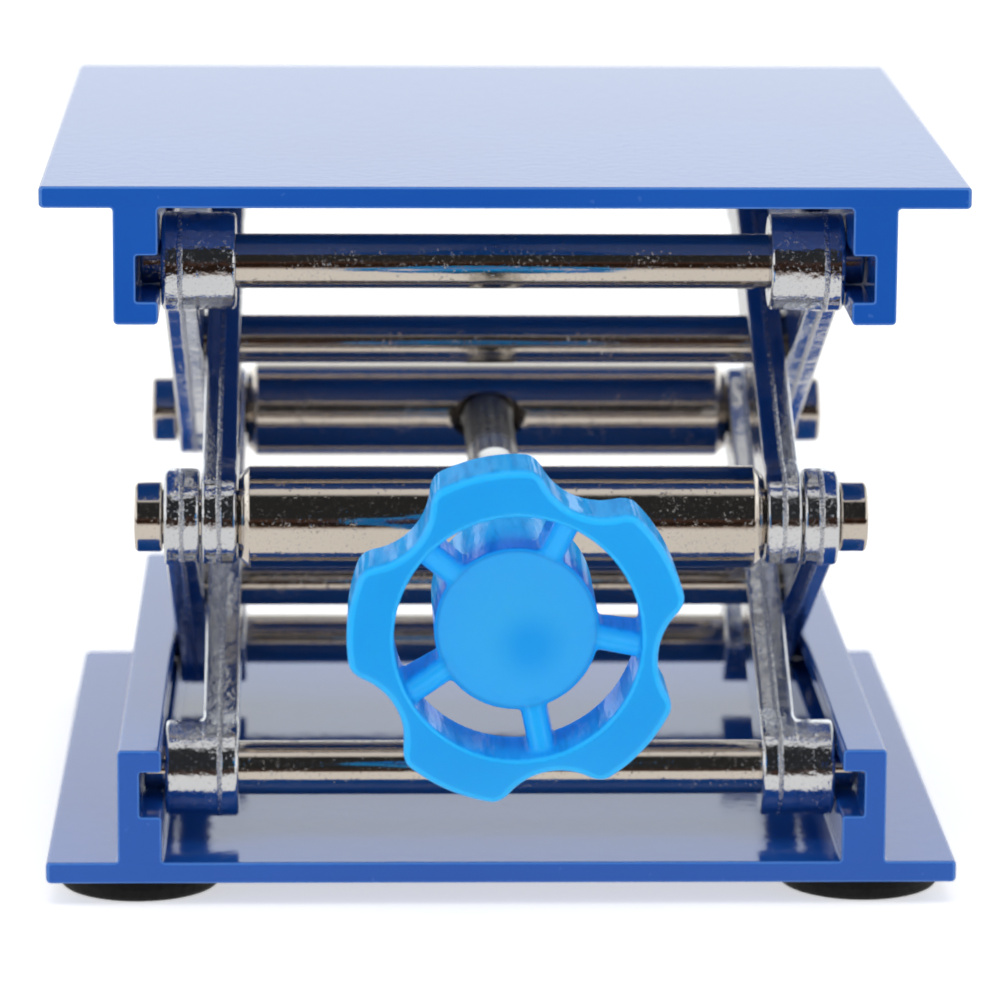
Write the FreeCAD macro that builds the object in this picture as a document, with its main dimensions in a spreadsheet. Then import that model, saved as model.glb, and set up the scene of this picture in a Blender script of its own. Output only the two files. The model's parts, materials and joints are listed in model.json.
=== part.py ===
import FreeCAD, Part
import Sketcher
import math
import os
import sys

# Two-stage scissor lift table ("lab jack") with extruded plates, cast arms and a hand wheel.
# Millimetres. +Z up, the hand wheel faces -Y, +X to the right of someone at the hand wheel.
# The origin lies on the bench plane, below the middle of the overall footprint, wheel included.
# The model stands at its rest height, a little under half of its lift.

Vector = FreeCAD.Vector
doc = FreeCAD.newDocument("LabJack")

# ---------------------------------------------------------------- spreadsheet
# alias, value, note
SIZES = [
    # plates
    ("plate_width", 100.0, "plate, left to right"),
    ("plate_depth", 100.0, "plate, front to back"),
    ("plate_thick", 2.35, "plate thickness"),
    ("plate_corner", 0.6, "plan corner radius of a plate"),
    ("plate_edge", 0.35, "edge rounding along the extrusion"),
    ("rail_outer", 42.1, "outer face of a rail from the middle"),
    ("rail_inner", 37.3, "inner face of a rail from the middle"),
    ("rail_height", 15.0, "rail height, plate included"),
    ("slot_bottom", 39.7, "bottom of the rail slot from the middle"),
    ("slot_high", 5.05, "slot width, up and down"),
    ("pivot_height", 10.0, "slot middle from the plate's outer face"),
    ("plate_middle", 23.43, "plate middle behind the origin"),
    # feet
    ("foot_high", 2.5, "foot thickness"),
    ("foot_dia", 18.0, "foot diameter"),
    ("foot_place", 40.0, "foot centre from the plate middle, both ways"),
    ("foot_round", 0.7, "rounding of a foot's lower rim"),
    # linkage
    ("arm_length", 68.5, "pivot to pivot"),
    ("rest_angle", 24.65, "arm angle above level at rest, degrees"),
    ("rear_pivot", 24.3, "fixed pivots behind the plate middle"),
    ("inner_face", 29.1, "inner side of an inner arm from the middle"),
    ("arm_thick", 3.9, "arm thickness"),
    ("arm_gap", 0.2, "gap between the two arms of a pair"),
    ("arm_web", 8.6, "arm width between its eyes"),
    ("eye_dia", 10.5, "arm eye diameter"),
    ("boss_dia", 10.65, "wide boss diameter"),
    ("arm_edge", 0.4, "rounding of an arm's long edges"),
    # shafts and pins
    ("shaft_dia", 6.0, "plate shafts"),
    ("shaft_pin_dia", 4.8, "thin ends in the slots"),
    ("shaft_pin_end", 39.5, "end of a slot pin from the middle"),
    ("centre_shaft_dia", 5.6, "shafts through the middle of the arms"),
    ("shaft_inset", 0.05, "thick part of a shaft, short of the outer arm's face"),
    ("running", 0.05, "radial running clearance"),
    ("snug", 0.01, "clearance of a fixed fit, each side"),
    ("tiny_chamfer", 0.4, "chamfer on shaft and screw ends"),
    # crossbars
    ("bar_dia", 11.3, "crossbar diameter"),
    ("bar_end", 28.95, "crossbar end from the middle"),
    ("bar_chamfer", 1.2, "crossbar end chamfer"),
    ("bar_tap_spare", 0.8, "straight tapped hole beyond the pivot screw's tip"),
    ("bar_tap_cone", 1.2, "length of the cone at the tapped hole's floor"),
    ("spot_dia", 9.0, "counterbore where the lead screw passes"),
    ("spot_floor", 3.0, "counterbore floor from the bar's axis"),
    ("sink_deep", 0.84, "countersink depth where the lead screw enters the rear bar"),
    ("bar_hole_dia", 6.1, "lead screw hole"),
    # shoulder screws
    ("shoulder_dia", 6.0, "pivot screw shoulder"),
    ("pivot_head_dia", 7.7, "pivot screw head"),
    ("pivot_head_in", 37.3, "under the head from the middle"),
    ("pivot_head_out", 40.35, "outside of the head from the middle"),
    ("pivot_thread_dia", 4.0, "pivot screw thread"),
    ("pivot_thread_long", 8.0, "pivot screw thread length"),
    ("pivot_key", 2.5, "hexagon socket across flats"),
    ("pivot_key_deep", 1.6, "hexagon socket depth"),
    # rail screws
    ("rail_screw_dia", 3.0, "rail screw thread"),
    ("rail_screw_head", 5.6, "rail screw head diameter"),
    ("rail_screw_lip", 0.25, "straight rim of the rail screw head"),
    ("rail_screw_long", 7.5, "rail screw length, head included"),
    ("rail_hole_clear", 0.1, "radial clearance round a rail screw's thread"),
    ("rail_sink_clear", 0.03, "radial clearance round a rail screw's head"),
    ("shaft_tap_less", 1.8, "shaft's tapped depth, less than the rail screw's length"),
    ("cross_long", 2.6, "cross slot length"),
    ("cross_wide", 0.6, "cross slot width"),
    ("cross_deep", 0.9, "cross slot depth"),
    # lead screw
    ("screw_dia", 6.0, "plain part of the lead screw"),
    ("screw_major", 5.9, "threaded part of the lead screw, over the thread"),
    ("thread_start", 25.0, "start of the thread behind the front crossbar"),
    ("screw_end", 74.2, "end of the screw behind the front crossbar"),
    ("screw_chamfer", 0.8, "chamfer on the screw's rear end"),
    ("collar_dia", 8.6, "collar in front of the front crossbar"),
    ("collar_long", 2.5, "collar length"),
    ("collar_play", 0.05, "gap between collar and front washer"),
    ("washer_thick", 0.5, "thrust washer thickness"),
    ("washer_dia", 8.6, "thrust washer diameter"),
    ("clip_groove_dia", 4.9, "retaining clip groove"),
    ("groove_gap", 0.1, "clip groove behind the rear washer"),
    ("clip_play", 0.1, "groove width over the clip's thickness"),
    ("clip_thick", 0.7, "retaining clip thickness"),
    ("clip_dia", 8.6, "retaining clip outside"),
    ("mouth_ratio", 0.86, "clip mouth width, share of the groove diameter"),
    ("relief_place", 0.34, "clip relief from the axis, share of the clip diameter"),
    ("relief_size", 0.17, "clip relief diameter, share of the clip diameter"),
    ("relief_turn", 35.0, "clip reliefs above level, degrees"),
    ("hexagon", 9.0, "screw head in the wheel, across flats"),
    ("hexagon_high", 4.0, "screw head height"),
    # hand wheel
    ("wheel_front", 58.9, "wheel rim front ahead of the front crossbar"),
    ("rim_thick", 10.2, "wheel rim, front to back"),
    ("rim_outer", 17.2, "radius over the lobes"),
    ("rim_inner", 12.45, "radius inside the rim"),
    ("notch_centre", 20.95, "centre of a grip notch from the wheel axis"),
    ("notch_radius", 6.75, "grip notch radius"),
    ("lobe_corner", 1.1, "rounding between lobe and notch"),
    ("rim_edge", 1.0, "rounding of the rim's edges"),
    ("lobes", 5.0, "number of lobes, notches and spokes"),
    ("notch_turn", 66.0, "direction of the first notch, degrees"),
    ("hub_dia", 16.75, "hub diameter"),
    ("hub_recess", 4.5, "hub front behind the rim front"),
    ("hub_back", 21.9, "hub back behind the rim front"),
    ("spoke_wide", 2.8, "spoke thickness"),
    ("spoke_front", 2.1, "spoke front behind the rim front, at the rim"),
    ("spoke_front_in", 4.3, "spoke front behind the rim front, at the hub"),
    ("spoke_start", 7.4, "inner end of the spokes from the wheel axis"),
    ("spoke_sunk", 0.9, "outer end of the spokes, sunk into the rim"),
    ("spoke_back", 9.6, "spoke back behind the rim front"),
    ("hub_skin", 1.6, "plastic in front of the screw head"),
    # modelling
    ("overrun", 1.0, "how far a cut or overlap runs past a face"),
]
sheet = doc.addObject("Spreadsheet::Sheet", "Dims")
for row, (alias, number, note) in enumerate(SIZES, 1):
    sheet.set("A%d" % row, note)
    sheet.set("B%d" % row, repr(number))
    sheet.setAlias("B%d" % row, alias)
doc.recompute()


class Size:
    """A length or angle, kept both as a number and as the expression that gives it."""

    def __init__(self, text, number):
        self.text, self.number = text, float(number)

    def _with(self, other, sign, number):
        return Size("(%s %s %s)" % (self.text, sign, other.text), number)

    def __add__(self, other):
        other = size(other)
        return self._with(other, "+", self.number + other.number)

    def __sub__(self, other):
        other = size(other)
        return self._with(other, "-", self.number - other.number)

    def __mul__(self, other):
        other = size(other)
        return self._with(other, "*", self.number * other.number)

    def __truediv__(self, other):
        other = size(other)
        return self._with(other, "/", self.number / other.number)

    def __rsub__(self, other):
        return size(other) - self

    def __neg__(self):
        return Size("(0 - %s)" % self.text, -self.number)


def size(amount):
    return amount if isinstance(amount, Size) else Size("(%r)" % float(amount), amount)


def cosd(angle):
    angle = size(angle)
    return Size("cos(%s)" % angle.text, math.cos(math.radians(angle.number)))


def sind(angle):
    angle = size(angle)
    return Size("sin(%s)" % angle.text, math.sin(math.radians(angle.number)))


class Dimensions:
    """Gives each spreadsheet alias as a Size."""

    def __getattr__(self, alias):
        return Size("Dims." + alias, sheet.get(alias))


dim = Dimensions()


def bind(thing, name, amount):
    thing.setExpression(name, size(amount).text)


# ---------------------------------------------------------------- derived places
arm_rise = dim.arm_length * sind(dim.rest_angle)
arm_reach = dim.arm_length * cosd(dim.rest_angle)
rear_y = dim.plate_middle + dim.rear_pivot
front_y = rear_y - arm_reach
centre_y = rear_y - arm_reach / 2
low_z = dim.foot_high + dim.pivot_height
mid_z = low_z + arm_rise
high_z = mid_z + arm_rise
top_z = high_z + dim.pivot_height
lower_centre_z = low_z + arm_rise / 2
upper_centre_z = mid_z + arm_rise / 2
inner_middle = dim.inner_face + dim.arm_thick / 2
outer_middle = dim.inner_face + dim.arm_thick * 1.5 + dim.arm_gap
shaft_step = dim.inner_face + dim.arm_thick * 2 + dim.arm_gap - dim.shaft_inset

# what the two kinds of fit add to a diameter
turning = dim.running * 2
fixed = dim.snug * 2

pieces = []  # every object that is written to a file


# ---------------------------------------------------------------- bodies and sketches
def body(label, x=0, y=0, z=0, turn=None, axis=Vector(1, 0, 0), kept=True):
    piece = doc.addObject("PartDesign::Body", label)
    piece.Label = label
    if turn is not None:
        # sets the axis, which the bound angle then keeps
        rotation = FreeCAD.Rotation(axis, size(turn).number)
        piece.Placement = FreeCAD.Placement(Vector(0, 0, 0), rotation)
        bind(piece, "Placement.Rotation.Angle", turn)
    for name, amount in (("x", x), ("y", y), ("z", z)):
        bind(piece, "Placement.Base." + name, amount)
    if kept:
        pieces.append(piece)
    return piece


def origin_item(piece, role):
    return [item for item in piece.Origin.OriginFeatures if item.Role == role][0]


def sketch(piece, name, role="XY_Plane", offset=None):
    drawing = piece.newObject("Sketcher::SketchObject", piece.Label + "_" + name)
    drawing.AttachmentSupport = [(origin_item(piece, role), "")]
    drawing.MapMode = "FlatFace"
    if offset is not None:
        bind(drawing, "AttachmentOffset.Base.z", offset)
    return drawing


def constrain(drawing, amount, kind, *where):
    index = drawing.addConstraint(Sketcher.Constraint(kind, *where, size(amount).number))
    bind(drawing, "Constraints[%d]" % index, amount)


def fix(drawing, line, point, x, y):
    """Holds one point of a sketch at x, y from the sketch's origin."""
    constrain(drawing, x, "DistanceX", line, point)
    constrain(drawing, y, "DistanceY", line, point)


def polygon(drawing, points):
    """A closed outline of straight lines through the points."""
    first = drawing.GeometryCount
    count = len(points)
    corners = [Vector(size(x).number, size(y).number, 0) for x, y in points]
    for i in range(count):
        drawing.addGeometry(Part.LineSegment(corners[i], corners[(i + 1) % count]), False)
    for i in range(count):
        following = first + (i + 1) % count
        drawing.addConstraint(Sketcher.Constraint("Coincident", first + i, 2, following, 1))
    for i, (x, y) in enumerate(points):
        fix(drawing, first + i, 1, x, y)


def rectangle(drawing, x_low, y_low, x_high, y_high):
    polygon(drawing, [(x_low, y_low), (x_high, y_low), (x_high, y_high), (x_low, y_high)])


def hexagon(drawing, across_flats):
    corner = across_flats / (cosd(30) * 2)
    polygon(drawing, [(corner * cosd(60 * i), corner * sind(60 * i)) for i in range(6)])


def circle(drawing, x, y, dia):
    centre = Vector(size(x).number, size(y).number, 0)
    curve = Part.Circle(centre, Vector(0, 0, 1), size(dia).number / 2)
    index = drawing.addGeometry(curve, False)
    fix(drawing, index, 3, x, y)
    constrain(drawing, dia, "Diameter", index)


def mirrored(points):
    """The points on the other side of the sketch's upright axis, in reverse order."""
    return [(-x, y) for x, y in reversed(points)]


# ---------------------------------------------------------------- features
def volume(piece):
    doc.recompute()
    return 0.0 if piece.Shape.isNull() else piece.Shape.Volume


def require_change(piece, feature, before):
    if abs(volume(piece) - before) < 1e-6:
        raise RuntimeError("%s changed nothing" % feature.Name)


def extrude(kind, piece, drawing, length, name, both, flip):
    before = volume(piece)
    feature = piece.newObject("PartDesign::" + kind, piece.Label + "_" + name)
    feature.Profile = drawing
    bind(feature, "Length", length)
    if both:
        feature.SideType = "Symmetric"
    feature.Reversed = flip
    require_change(piece, feature, before)
    return feature


def pad(piece, drawing, length, name, both=False, flip=False):
    return extrude("Pad", piece, drawing, length, name, both, flip)


def pocket(piece, drawing, length, name, both=False, flip=False):
    return extrude("Pocket", piece, drawing, length, name, both, flip)


def revolve(piece, drawing, name, groove=False, axis="H_Axis"):
    before = volume(piece)
    kind = "PartDesign::Groove" if groove else "PartDesign::Revolution"
    feature = piece.newObject(kind, piece.Label + "_" + name)
    feature.Profile = drawing
    feature.ReferenceAxis = (drawing, [axis])
    feature.Angle = 360.0
    require_change(piece, feature, before)


def revolve_outline(piece, name, points, groove=False, axis="H_Axis"):
    """Turns an outline drawn on the XY plane into the piece, or cuts it out."""
    drawing = sketch(piece, name)
    polygon(drawing, points)
    revolve(piece, drawing, name, groove, axis)


def polar(piece, original, name, count):
    """Repeats a feature evenly round the piece's X axis."""
    feature = piece.newObject("PartDesign::PolarPattern", piece.Label + "_" + name)
    feature.Originals = [original]
    feature.Axis = (origin_item(piece, "X_Axis"), [""])
    feature.Angle = 360.0
    feature.Occurrences = int(count.number)
    bind(feature, "Occurrences", count)
    piece.Tip = feature
    doc.recompute()


def fillet(piece, name, radius, test):
    """Rounds the edges that pass a test on the edge and its middle point."""
    before = volume(piece)
    names = []
    for i, edge in enumerate(piece.Tip.Shape.Edges, 1):
        middle = edge.valueAt((edge.FirstParameter + edge.LastParameter) / 2)
        if test(edge, middle):
            names.append("Edge%d" % i)
    if not names:
        raise RuntimeError("%s has no edges for %s" % (piece.Label, name))
    base = piece.Tip
    feature = piece.newObject("PartDesign::Fillet", piece.Label + "_" + name)
    feature.Base = (base, names)
    bind(feature, "Radius", radius)
    feature.UseAllEdges = False
    require_change(piece, feature, before)


def near(value, target):
    return abs(value - size(target).number) < 1e-3


def straight(edge, way):
    """Whether an edge is a straight line along the unit vector way."""
    if not isinstance(edge.Curve, (Part.Line, Part.LineSegment)):
        return False
    span = edge.Vertexes[-1].Point - edge.Vertexes[0].Point
    return span.Length > 1e-6 and abs(abs(span.normalize().dot(way)) - 1) < 1e-6


# ---------------------------------------------------------------- plates
def plate_section():
    """Half section, right of the middle: the plate and a rail with an inward slot."""
    slot_low = dim.pivot_height - dim.slot_high / 2
    slot_top = dim.pivot_height + dim.slot_high / 2
    return [
        (dim.plate_width / 2, 0),
        (dim.plate_width / 2, dim.plate_thick),
        (dim.rail_outer, dim.plate_thick),
        (dim.rail_outer, dim.rail_height),
        (dim.rail_inner, dim.rail_height),
        (dim.rail_inner, slot_top),
        (dim.slot_bottom, slot_top),
        (dim.slot_bottom, slot_low),
        (dim.rail_inner, slot_low),
        (dim.rail_inner, dim.plate_thick),
    ]


def is_plan_corner(edge, middle):
    return (
        straight(edge, Vector(0, 0, 1))
        and near(abs(middle.x), dim.plate_width / 2)
        and near(abs(middle.y), dim.plate_depth / 2)
    )


def is_section_corner(edge, middle):
    """Edges along the plate's two sides and along the free ends of the rails."""
    if not straight(edge, Vector(0, 1, 0)):
        return False
    x, z = abs(middle.x), middle.z
    on_side = near(x, dim.plate_width / 2) and (near(z, 0) or near(z, dim.plate_thick))
    on_rail = near(z, dim.rail_height) and (near(x, dim.rail_inner) or near(x, dim.rail_outer))
    return on_side or on_rail


def plate(label, z, turn):
    """One length of extrusion: a plate with two slotted rails."""
    piece = body(label, y=dim.plate_middle, z=z, turn=turn, axis=Vector(0, 1, 0))
    section = sketch(piece, "section", "XZ_Plane")
    right = plate_section()
    polygon(section, right + mirrored(right))
    pad(piece, section, dim.plate_depth, "extrusion", both=True)
    fillet(piece, "corners", dim.plate_corner, is_plan_corner)
    fillet(piece, "long_edges", dim.plate_edge, is_section_corner)

    # countersunk holes for the screws that hold the fixed shaft
    holes = sketch(piece, "screw_holes", "YZ_Plane")
    circle(holes, dim.rear_pivot, dim.pivot_height, dim.rail_screw_dia + dim.rail_hole_clear * 2)
    pocket(piece, holes, dim.plate_width, "screw_holes", both=True)
    hole_radius = dim.rail_screw_dia / 2 + dim.rail_hole_clear
    head_radius = dim.rail_screw_head / 2 + dim.rail_sink_clear
    rim = dim.rail_outer - dim.rail_screw_lip
    cone_end = rim - (head_radius - hole_radius)
    outline = [
        (dim.rail_outer + dim.overrun, 0),
        (dim.rail_outer + dim.overrun, head_radius),
        (rim, head_radius),
        (cone_end, hole_radius),
        (cone_end, 0),
    ]
    for side, points in (("right", outline), ("left", mirrored(outline))):
        name = "countersink_" + side
        drawing = sketch(piece, name, offset=dim.pivot_height)
        bind(drawing, "AttachmentOffset.Base.y", dim.rear_pivot)
        polygon(drawing, points)
        revolve(piece, drawing, name, groove=True)


plate("base_plate", dim.foot_high, None)
plate("top_plate", top_z, 180)  # upside down


# ---------------------------------------------------------------- feet
def foot(label, x, y):
    piece = body(label, x=x, y=y)
    drawing = sketch(piece, "disc")
    circle(drawing, 0, 0, dim.foot_dia)
    pad(piece, drawing, dim.foot_high, "disc")
    fillet(
        piece,
        "rim",
        dim.foot_round,
        lambda edge, middle: isinstance(edge.Curve, Part.Circle) and middle.z < 0.01,
    )


for row_name, y in (
    ("front", dim.plate_middle - dim.foot_place),
    ("rear", dim.plate_middle + dim.foot_place),
):
    foot("foot_%s_left" % row_name, -dim.foot_place, y)
    foot("foot_%s_right" % row_name, dim.foot_place, y)


# ---------------------------------------------------------------- arms
def is_web_edge(edge, middle):
    return (
        straight(edge, Vector(0, 1, 0))
        and near(abs(middle.z), dim.arm_web / 2)
        and near(abs(middle.x), dim.arm_thick / 2)
    )


def arm(label, left, outer, z, boss_end, bores):
    """A cast arm from its front pivot (local origin) to its rear pivot (+Y).

    Outer arms fall towards the rear, inner arms rise.
    boss_end is the end drawn out across the width of both arms.
    bores are the hole diameters at front, middle and rear.
    """
    middle = outer_middle if outer else inner_middle
    piece = body(
        label,
        x=-middle if left else middle,
        y=front_y,
        z=z,
        turn=-dim.rest_angle if outer else dim.rest_angle,
    )
    web = sketch(piece, "web", "YZ_Plane")
    rectangle(web, 0, -dim.arm_web / 2, dim.arm_length, dim.arm_web / 2)
    pad(piece, web, dim.arm_thick, "web", both=True)
    fillet(piece, "web_edges", dim.arm_edge, is_web_edge)

    places = {"front": size(0), "middle": dim.arm_length / 2, "rear": dim.arm_length}
    for end in ("front", "rear"):
        eye = sketch(piece, end + "_eye", "YZ_Plane")
        circle(eye, places[end], 0, dim.boss_dia if end == boss_end else dim.eye_dia)
        pad(piece, eye, dim.arm_thick, end + "_eye", both=True)

    # the boss reaches across to the other arm's side: outwards from an inner arm,
    # inwards from an outer one
    boss = sketch(piece, "boss", "YZ_Plane")
    circle(boss, places[boss_end], 0, dim.boss_dia)
    pad(piece, boss, dim.arm_thick * 1.5 + dim.arm_gap, "boss", flip=outer != left)

    for (place, along), bore in zip(places.items(), bores):
        drawing = sketch(piece, place + "_bore", "YZ_Plane")
        circle(drawing, along, 0, bore)
        # long enough to pass through the boss
        pocket(piece, drawing, dim.arm_thick * 6, place + "_bore", both=True)


shaft_fixed = dim.shaft_dia + fixed
shaft_turning = dim.shaft_dia + turning
centre_fixed = dim.centre_shaft_dia + fixed
centre_turning = dim.centre_shaft_dia + turning
shoulder_turning = dim.shoulder_dia + turning
# name, outer, height of the front pivot, boss end, bores at front, middle and rear
ARMS = [
    ("lower_inner_arm_", False, low_z, "front", (shaft_fixed, centre_turning, shoulder_turning)),
    ("lower_outer_arm_", True, mid_z, "rear", (shoulder_turning, centre_fixed, shaft_turning)),
    ("upper_outer_arm_", True, high_z, "front", (shaft_fixed, centre_fixed, shoulder_turning)),
    ("upper_inner_arm_", False, mid_z, "rear", (shoulder_turning, centre_turning, shaft_turning)),
]
for side in ("left", "right"):
    for name, outer, z, boss_end, bores in ARMS:
        arm(name + side, side == "left", outer, z, boss_end, bores)


# ---------------------------------------------------------------- shafts
def turned(label, half, y, z):
    """A turned piece along X: half is the outline of its right half."""
    piece = body(label, y=y, z=z)
    revolve_outline(piece, "turned", mirrored(half) + half)
    return piece


def plate_shaft(label, y, z):
    """A shaft with thinner ends that sit in the rail slots."""
    chamfer, pin, end = dim.tiny_chamfer, dim.shaft_pin_dia / 2, dim.shaft_pin_end
    half = [
        (shaft_step, dim.shaft_dia / 2),
        (shaft_step, pin),
        (end - chamfer, pin),
        (end, pin - chamfer),
        (end, 0),
    ]
    return turned(label, half, y, z)


def tap_shaft(piece):
    """Tapped ends for the rail screws, cut to the thread's outside."""
    floor = dim.shaft_pin_end - dim.rail_screw_long + dim.shaft_tap_less
    mouth = dim.shaft_pin_end + dim.overrun
    radius = dim.rail_screw_dia / 2 + dim.snug
    points = [(floor, 0), (mouth, 0), (mouth, radius), (floor, radius)]
    revolve_outline(piece, "tap_left", mirrored(points), groove=True)
    revolve_outline(piece, "tap_right", points, groove=True)


def centre_shaft(label, z):
    chamfer, radius, end = dim.tiny_chamfer, dim.centre_shaft_dia / 2, shaft_step
    turned(label, [(end - chamfer, radius), (end, radius - chamfer), (end, 0)], centre_y, z)


plate_shaft("base_front_shaft", front_y, low_z)
plate_shaft("top_front_shaft", front_y, high_z)
tap_shaft(plate_shaft("base_rear_shaft", rear_y, low_z))
tap_shaft(plate_shaft("top_rear_shaft", rear_y, high_z))
centre_shaft("lower_centre_shaft", lower_centre_z)
centre_shaft("upper_centre_shaft", upper_centre_z)


# ---------------------------------------------------------------- crossbars
def crossbar(label, y):
    """A bar with tapped ends and a cross hole for the lead screw."""
    chamfer, radius, end = dim.bar_chamfer, dim.bar_dia / 2, dim.bar_end
    tap = dim.pivot_thread_dia / 2 + dim.snug
    tap_floor = end - dim.pivot_thread_long - dim.bar_tap_spare
    half = [
        (end - chamfer, radius),
        (end, radius - chamfer),
        (end, tap),
        (tap_floor, tap),
        (tap_floor - dim.bar_tap_cone, 0),
    ]
    piece = turned(label, half, y, mid_z)
    hole = sketch(piece, "screw_hole", "XZ_Plane")
    circle(hole, 0, 0, dim.bar_hole_dia)
    pocket(piece, hole, dim.bar_dia * 2, "screw_hole", both=True)
    return piece


def counterbore_both_faces(piece):
    """Flat-bottomed counterbores where the screw enters and leaves."""
    # the XZ plane looks along -Y, so a positive offset lies at the front
    for name, offset, front in (
        ("front_counterbore", dim.spot_floor, True),
        ("rear_counterbore", -dim.spot_floor, False),
    ):
        drawing = sketch(piece, name, "XZ_Plane", offset)
        circle(drawing, 0, 0, dim.spot_dia)
        pocket(piece, drawing, dim.bar_dia, name, flip=front)


def countersink_front(piece):
    """A wide countersink where the screw enters its thread."""
    face = -dim.bar_dia / 2
    points = [
        (0, face - dim.overrun),
        (dim.spot_dia / 2, face - dim.overrun),
        (dim.spot_dia / 2, face),
        (dim.bar_hole_dia / 2, face + dim.sink_deep),
        (0, face + dim.sink_deep),
    ]
    revolve_outline(piece, "front_countersink", points, groove=True, axis="V_Axis")


counterbore_both_faces(crossbar("front_crossbar", front_y))
countersink_front(crossbar("rear_crossbar", rear_y))


# ---------------------------------------------------------------- pivot screws
def pivot_screw(label, y, turn):
    """Shoulder screw: thread in the crossbar's end, both arms turn on its shoulder."""
    piece = body(label, y=y, z=mid_z, turn=turn, axis=Vector(0, 0, 1))
    tip = dim.bar_end - dim.pivot_thread_long
    chamfer = dim.tiny_chamfer
    thread, head = dim.pivot_thread_dia / 2, dim.pivot_head_dia / 2
    points = [
        (tip, 0),
        (tip, thread - chamfer),
        (tip + chamfer, thread),
        (dim.bar_end, thread),
        (dim.bar_end, dim.shoulder_dia / 2),
        (dim.pivot_head_in, dim.shoulder_dia / 2),
        (dim.pivot_head_in, head),
        (dim.pivot_head_out - chamfer, head),
        (dim.pivot_head_out, head - chamfer),
        (dim.pivot_head_out, 0),
    ]
    revolve_outline(piece, "turned", points)
    socket = sketch(piece, "socket", "YZ_Plane", dim.pivot_head_out - dim.pivot_key_deep)
    hexagon(socket, dim.pivot_key)
    pocket(piece, socket, dim.pivot_key_deep * 2, "socket", flip=True)


for name, y in (("front", front_y), ("rear", rear_y)):
    pivot_screw(name + "_pivot_screw_left", y, 180)
    pivot_screw(name + "_pivot_screw_right", y, None)


# ---------------------------------------------------------------- rail screws
def compound(label, links):
    group = doc.addObject("Part::Compound", label)
    group.Label = label
    group.Links = links
    pieces.append(group)


def rail_screws(label, z):
    """A countersunk screw through each rail into the fixed shaft's end."""
    piece = body(label + "_one", y=rear_y, z=z, kept=False)
    face = dim.rail_outer
    head, thread = dim.rail_screw_head / 2, dim.rail_screw_dia / 2
    rim = face - dim.rail_screw_lip
    points = [
        (face - dim.rail_screw_long, 0),
        (face - dim.rail_screw_long, thread),
        (rim - (head - thread), thread),
        (rim, head),
        (face, head),
        (face, 0),
    ]
    revolve_outline(piece, "turned", points)
    # cross slot in the head
    for name, wide, tall in (
        ("slot_one", dim.cross_long, dim.cross_wide),
        ("slot_two", dim.cross_wide, dim.cross_long),
    ):
        drawing = sketch(piece, name, "YZ_Plane", face - dim.cross_deep)
        rectangle(drawing, -wide / 2, -tall / 2, wide / 2, tall / 2)
        pocket(piece, drawing, dim.cross_deep + dim.overrun, name, flip=True)
    other = doc.addObject("Part::Mirroring", label + "_other")
    other.Source = piece
    other.Normal = Vector(1, 0, 0)
    other.Base = Vector(0, 0, 0)
    compound(label, [piece, other])


rail_screws("base_rear_shaft_screws", low_z)
rail_screws("top_rear_shaft_screws", high_z)


# ---------------------------------------------------------------- lead screw and its thrust parts
# Local frame: +X runs back along the screw from the front crossbar's axis.
def along_screw(label, kept=True):
    return body(label, y=front_y, z=mid_z, turn=90, axis=Vector(0, 0, 1), kept=kept)


washer_outside = dim.spot_floor + dim.washer_thick
groove_front = washer_outside + dim.groove_gap
rim_front = -dim.wheel_front
hub_front = rim_front + dim.hub_recess
hexagon_front = hub_front + dim.hub_skin + dim.snug


def lead_screw():
    piece = along_screw("lead_screw")
    collar_back = -(washer_outside + dim.collar_play)
    collar_front = collar_back - dim.collar_long
    groove_back = groove_front + dim.clip_thick + dim.clip_play
    # the plain part starts inside the hexagon
    start = hexagon_front + dim.hexagon_high - dim.overrun
    plain, thread, groove = dim.screw_dia / 2, dim.screw_major / 2, dim.clip_groove_dia / 2
    points = [
        (start, 0),
        (start, plain),
        (collar_front, plain),
        (collar_front, dim.collar_dia / 2),
        (collar_back, dim.collar_dia / 2),
        (collar_back, plain),
        (groove_front, plain),
        (groove_front, groove),
        (groove_back, groove),
        (groove_back, plain),
        (dim.thread_start, plain),
        (dim.thread_start + (plain - thread), thread),
        (dim.screw_end - dim.screw_chamfer, thread),
        (dim.screw_end, thread - dim.screw_chamfer),
        (dim.screw_end, 0),
    ]
    revolve_outline(piece, "turned", points)
    head = sketch(piece, "hexagon", "YZ_Plane", hexagon_front)
    hexagon(head, dim.hexagon)
    pad(piece, head, dim.hexagon_high, "hexagon")


def pad_ring(piece, start, thick, inner, outer, name="ring"):
    """Adds a flat ring round the screw's axis, from start backwards."""
    drawing = sketch(piece, name, "YZ_Plane", start)
    circle(drawing, 0, 0, outer)
    circle(drawing, 0, 0, inner)
    pad(piece, drawing, thick, name)


def thrust_washers():
    washers = []
    for label, start in (
        ("thrust_washer_front", -washer_outside),
        ("thrust_washer_rear", dim.spot_floor),
    ):
        washer = along_screw(label, kept=False)
        pad_ring(washer, start, dim.washer_thick, dim.screw_dia + turning, dim.washer_dia)
        washers.append(washer)
    compound("thrust_washers", washers)


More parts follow.
